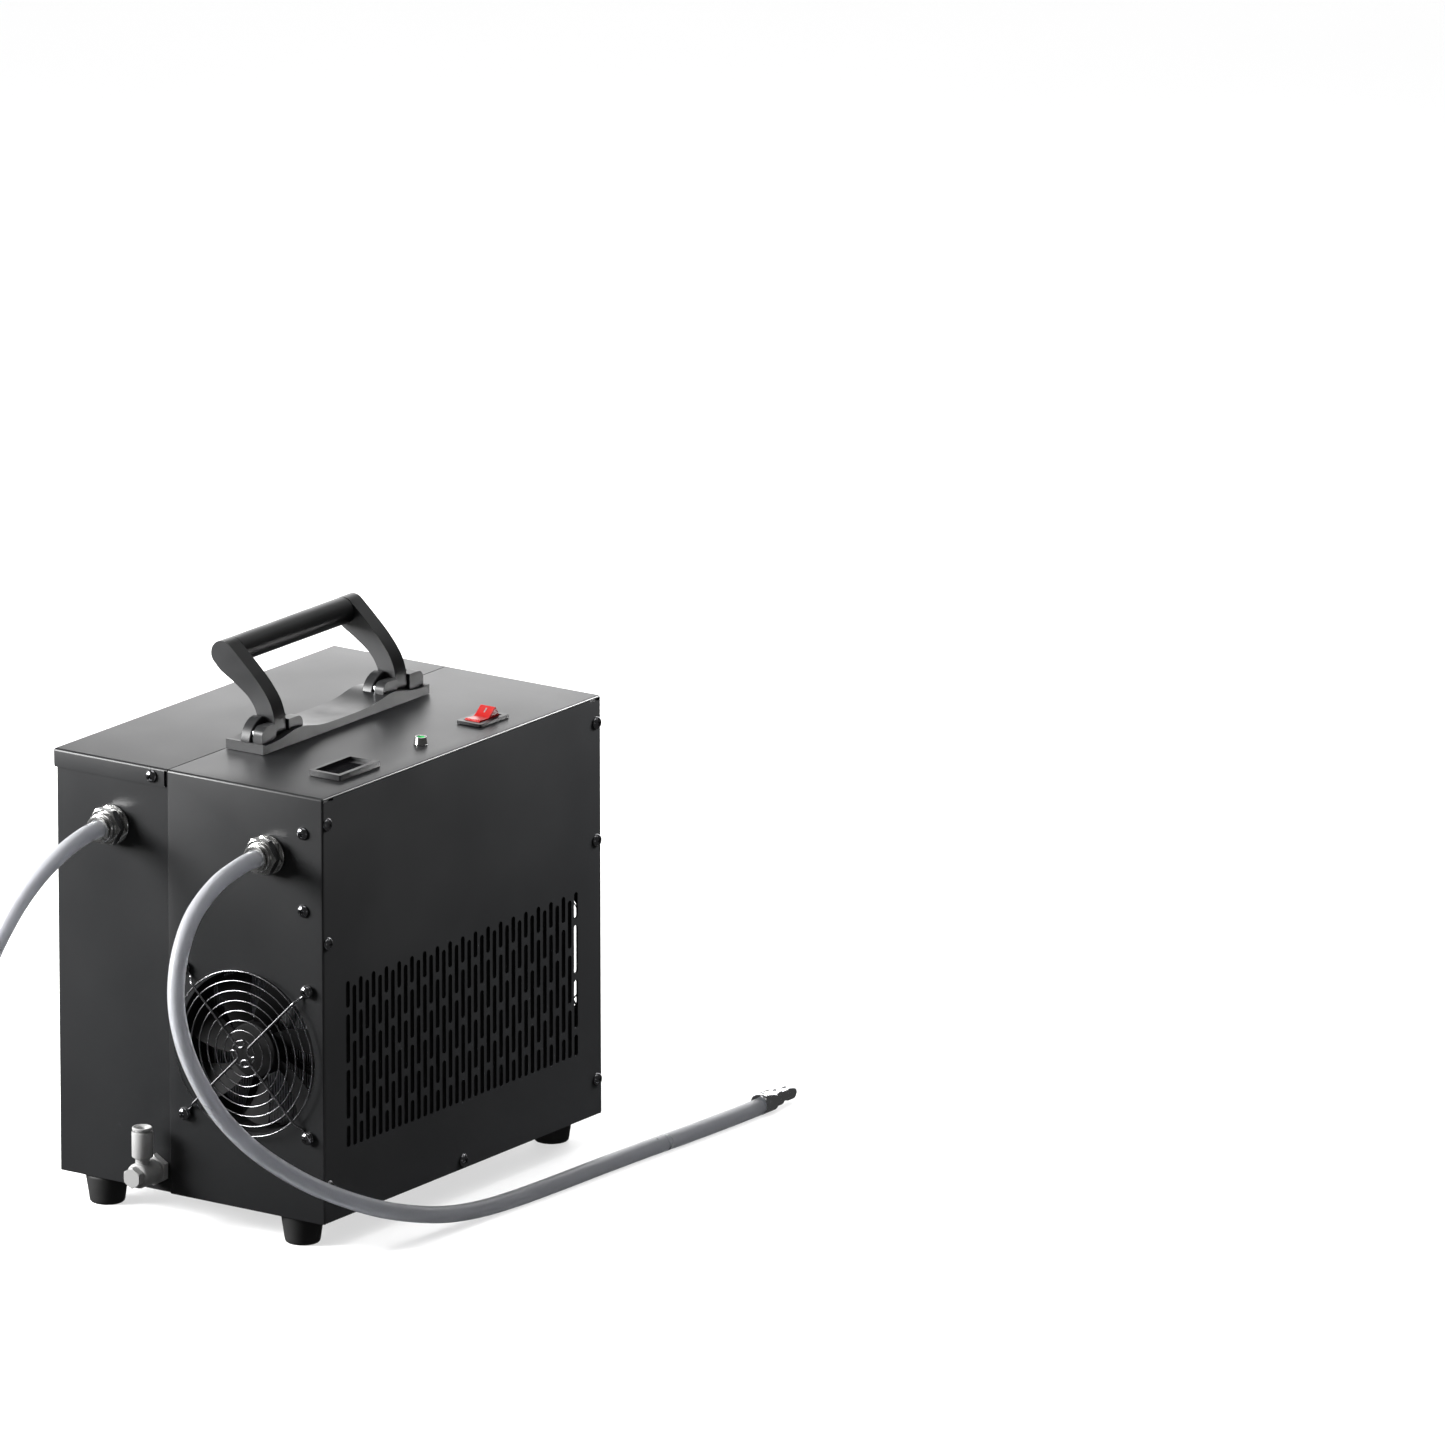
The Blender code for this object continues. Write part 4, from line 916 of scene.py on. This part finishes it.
def spoke_points(face, out, quarter):
    turn = math.radians(45 + 90 * quarter)
    across = Vector((0, math.cos(turn), math.sin(turn)))
    aside = Vector((0, -math.sin(turn), math.cos(turn)))
    centre = Vector((face, *FAN_CENTRE))
    reach = FAN_PITCH / math.sqrt(2)
    path = [(reach - 3.6, 0, 1.1), (reach - 8, 0, 1.4), (reach - 12.5, 0, 5.1),
            (reach - 17, 0, 5.5), (34, 0, 5.5), (9.4, 0, 5.5), (5.2, 0.8, 5.5), (3.4, 3.6, 5.5),
            (4.6, 6.6, 5.5), (6.6, 7.4, 5.2)]
    return [centre + across * r + aside * s + Vector((out * x, 0, 0)) for r, s, x in path]


def wire_guard(name, face, out):
    """Chromed rings on four spokes, with an eye under each screw."""
    wires = bmesh.new()
    for k in range(RINGS):
        hoop(wires, (face + out * 4.55, *FAN_CENTRE), RING_FIRST + k * RING_PITCH, RING_WIRE)
    for quarter in range(4):
        pipe(smooth_path(spoke_points(face, out, quarter), 1.2), WIRE, 10, shape=wires)
    half = FAN_PITCH / 2
    for db in (-half, half):
        for dc in (-half, half):
            hoop(wires, (face + out * 1.3, FAN_CENTRE[0] + db, FAN_CENTRE[1] + dc), 3.6, WIRE, 32)
    place(raw(name + "_wires", wires, smooth=60.0), "chrome", instead=(name,), coat="wire")


def fan_rotor():
    """Hub and twisted blades."""
    b, c = FAN_CENTRE
    low, high = SHEET + 3.5, SHEET + GAP + 19.0
    hub = [(0, low), (17.5, low), (19.0, low + 0.6), (19.5, low + 1.8), (19.5, high), (0, high)]
    shape = turned("a", b, c, hub)
    rows, columns = 10, 8
    for k in range(BLADES):
        base = 2 * math.pi * k / BLADES
        grid = []
        for j in range(rows + 1):
            part = j / rows
            radius = BLADE_ROOT + (BLADE_TIP - BLADE_ROOT) * part
            pitch = math.radians(48 - 22 * part)
            sweep = base + 0.28 * part
            row = []
            for i in range(columns + 1):
                chord = (i / columns - 0.5) * (17 + 13 * part)
                along = (low + high) / 2 + 0.5 + chord * math.sin(pitch) * 0.62
                angle = sweep + chord * math.cos(pitch) / radius
                thick = 0.35 + 0.45 * math.sin(math.pi * i / columns)
                row.append([shape.verts.new((along + side * thick, b + radius * math.cos(angle),
                                             c + radius * math.sin(angle))) for side in (-1, 1)])
            grid.append(row)
        for j in range(rows):
            for i in range(columns):
                for s in (0, 1):
                    shape.faces.new((grid[j][i][s], grid[j][i + 1][s], grid[j + 1][i + 1][s],
                                     grid[j + 1][i][s]))
            for i in (0, columns):
                shape.faces.new((grid[j][i][0], grid[j + 1][i][0], grid[j + 1][i][1],
                                 grid[j][i][1]))
        for row in (grid[0], grid[-1]):
            for i in range(columns):
                shape.faces.new((row[i][0], row[i][1], row[i + 1][1], row[i + 1][0]))
    # The blades wear the darkened fan plastic: painted shade for the shade inside the housing.
    place(raw("fan_blades", shape, smooth=40.0), "black_plastic", "fan_rotor", ("fan_rotor",),
          "blades")


# ---------------------------------------------------------------- air fittings

def chamfered_hexagon(name, place_at, flats, low, high, turn, ends=(True, True)):
    """A hexagon along the cabinet's length, with its corners turned off at the ends."""
    b, c = place_at
    nut = raw(name, sheet("a", low, high, hexagon(b, c, flats, turn)), smooth=20.0)
    face, corner = flats / 2 + 0.1, flats / math.sqrt(3) + 0.1
    fall = (corner - face) * 0.58
    first = [(face, low), (corner, low + fall)] if ends[0] else [(corner, low - 1)]
    last = [(corner, high - fall), (face, high)] if ends[1] else [(corner, high + 1)]
    profile = [(0, first[0][1])] + first + last + [(0, last[-1][1])]
    return carve(nut, turned("a", b, c, profile, 96), "INTERSECT", 20.0)


def air_fitting(name, place_at, panel):
    """Push-in bulkhead fitting: washer, lock nut, hexagon body and release collar."""
    b, c = place_at
    washer = [(7, panel - GAP), (13.6, panel - GAP), (13.8, panel - 0.5), (13.8, panel - 1.5),
              (13.5, panel - 1.8), (7, panel - 1.8)]
    nut = chamfered_hexagon("nut", place_at, 24, panel - 4.3, panel - 1.7, 0.25)
    parts = [raw("washer", turned("a", b, c, washer, 96)), soften(nut, 0.25, 2)]
    place(gather(f"{name}_nut_and_washer", parts), "nickel", instead=(f"{name}_locknut",))
    body = [(6.6, panel - 4.4), (11.0, panel - 4.4), (11.0, panel - 5.6), (10.6, panel - 6.0),
            (10.6, COLLAR_FACE + 4.4), (10.2, COLLAR_FACE + 3.4), (9.6, COLLAR_FACE + 3.0),
            (8.3, COLLAR_FACE + 3.0), (8.3, -8.0), (4.2, -8.0), (4.2, 16.0), (6.6, 16.0)]
    hexagon_part = chamfered_hexagon("hexagon", place_at, 24.4, panel - 11.4, panel - 5.2, 0.0)
    parts = [raw("turned", turned("a", b, c, body, 96)), soften(hexagon_part, 0.3, 2)]
    place(gather(f"{name}_body", parts), "nickel", instead=(f"{name}_fitting",))
    f = COLLAR_FACE
    collar = [(9.2, f + 0.1), (9.4, f + 0.4), (9.4, f + 1.1), (9.2, f + 1.4), (8.0, f + 1.5),
              (8.0, -12.8), (6.4, -12.8), (6.4, f + 0.5), (6.8, f), (8.8, f)]
    place(raw(f"{name}_release_collar", turned("a", b, c, collar, 96)), "nickel",
          f"{name}_collar", (f"{name}_collar",))


def drain():
    """White banjo elbow on a hollow bolt, with a push-in port that points up."""
    b, c = DRAIN
    nut = chamfered_hexagon("drain_flange_nut", DRAIN, 19.5, -3.7, SHEET - GAP, 0.5, (True, False))
    place(soften(nut, 0.3, 2), "white_plastic", instead=("drain_nut",))
    cap = chamfered_hexagon("cap", DRAIN, 13, -28.4, -22.9, 0.5, (True, True))
    parts = [soften(cap, 0.3, 2), raw("shank", rod("a", b, c, 3.7, -24, 12))]
    place(gather("drain_hollow_bolt", parts), "white_plastic", instead=("drain_bolt",))
    body = [(4.1, -22.5), (7.6, -22.5), (8.2, -22.2), (8.7, -21.6), (8.9, -20.8), (8.9, -5.6),
            (8.7, -4.6), (8.0, -4.1), (4.1, -4.1)]
    elbow = raw("elbow", turned("a", b, c, body, 96))
    port = [(0, c + 6.0), (5.0, c + 6.0), (5.0, c + 10.8), (5.3, c + 11.6), (6.9, c + 12.6),
            (7.35, c + 13.0), (7.45, c + 13.6), (7.45, c + 30.4), (7.2, c + 31), (5.3, c + 31),
            (5.3, c + 20), (3.2, c + 20), (3.2, c + 11), (0, c + 11)]
    carve(elbow, turned("c", DRAIN_TUBE, b, port, 96), "UNION", 35.0)
    elbow.name = "drain_elbow_moulded"
    place(elbow, "white_plastic", "drain_elbow", ("drain_elbow",))
    collar = [(6.5, c + 34.2), (7.0, c + 33.8), (7.1, c + 33.3), (7.1, c + 32.6), (6.9, c + 32.4),
              (5.0, c + 32.4), (5.0, c + 22.2), (3.4, c + 22.2), (3.4, c + 32.2), (4.2, c + 33.4),
              (5.4, c + 33.7), (6.0, c + 34.2)]
    place(raw("drain_release_collar", turned("c", DRAIN_TUBE, b, collar, 72)), "white_plastic",
          "drain_collar", ("drain_collar",))


# ---------------------------------------------------------------- light

def link_only(lamp, *things):
    """Let a lamp light the given objects and nothing else."""
    group = bpy.data.collections.new(lamp.name + "_receivers")
    for thing in things:
        group.objects.link(thing)
    lamp.light_linking.receiver_collection = group


def stage():
    """A pale floor, lit by a shadowless sun of its own, that neither reflects nor bounces light."""
    mesh = bpy.data.meshes.new("floor")
    r = FLOOR_REACH
    mesh.from_pydata([(-r, -r, 0), (r, -r, 0), (r, r, 0), (-r, r, 0)], [], [(0, 1, 2, 3)])
    mesh.materials.append(surface("pale_floor", (0.93, 0.93, 0.93), (0.91, 0.91, 0.91), 0.7,
                                  patch=0.6, bump=0.0))
    floor = bpy.data.objects.new("floor", mesh)
    bpy.context.scene.collection.objects.link(floor)
    floor.visible_glossy = False
    floor.visible_diffuse = False
    data = bpy.data.lights.new("floor_sun", "SUN")
    data.energy = 3.2
    data.angle = math.radians(80)
    data.use_shadow = False
    sun = bpy.data.objects.new("floor_sun", data)
    bpy.context.scene.collection.objects.link(sun)
    link_only(sun, floor)


def area_light(name, at, aim, size, radiance):
    """A rectangular softbox of a given brightness, out of the camera's sight."""
    data = bpy.data.lights.new(name, "AREA")
    data.shape = "RECTANGLE"
    data.size, data.size_y = size
    data.energy = radiance * math.pi * size[0] * size[1]
    lamp = bpy.data.objects.new(name, data)
    lamp.location = at
    lamp.rotation_euler = (Vector(aim) - Vector(at)).to_track_quat("-Z", "Y").to_euler()
    lamp.visible_camera = False
    bpy.context.scene.collection.objects.link(lamp)
    return lamp


def studio(metalwork):
    """A dim room and softboxes, one of which lights only the sheet metal."""
    world = bpy.data.worlds.new("studio")
    bpy.context.scene.world = world
    world.use_nodes = True
    sky = world.node_tree.nodes["Background"]
    sky.inputs["Color"].default_value = (1.0, 1.0, 1.0, 1.0)
    sky.inputs["Strength"].default_value = 0.06
    bpy.context.scene.view_settings.view_transform = "Standard"
    area_light("left", (-0.90, 0.98, 0.66), (-0.15, 0.05, 0.25), (0.7, 0.5), 42.0)
    area_light("rim", (-0.55, 1.75, 0.34), (-0.15, 0, 0.15), (0.5, 0.35), 8.0)
    area_light("edge", (-1.25, -1.80, 0.20), (-0.15, -0.12, 0.15), (0.10, 0.5), 4.0)
    area_light("back", (1.35, 0.50, 0.62), (0.1, 0, 0.28), (1.5, 1.1), 2.7)
    area_light("overhead", (-0.1, 0.1, 2.2), (0, 0, 0.2), (1.6, 1.6), 1.8)
    area_light("front", (0.9, -1.5, 1.9), (0, 0, 0.15), (1.0, 0.8), 0.6)
    lamp = area_light("right", (0.66, -0.46, 0.56), (0.17, -0.1, 0.28), (0.26, 0.20), 80.0)
    link_only(lamp, *metalwork)


# ---------------------------------------------------------------- build

coat_cad_nodes()
make_camera()
make_hoses()
metalwork = [front_shell(), grille_panel(), rear_shell(), rear_lid()]
feet()
screws()
handle_base()
carry_handle()
display()
indicator()
switch()
wire_guard("fan_guard", 0.0, -1)
wire_guard("exhaust_guard", LENGTH, 1)
fan_rotor()
air_fitting("inlet", INLET, 0.0)
air_fitting("outlet", OUTLET, SHEET)
drain()
stage()
studio(metalwork)
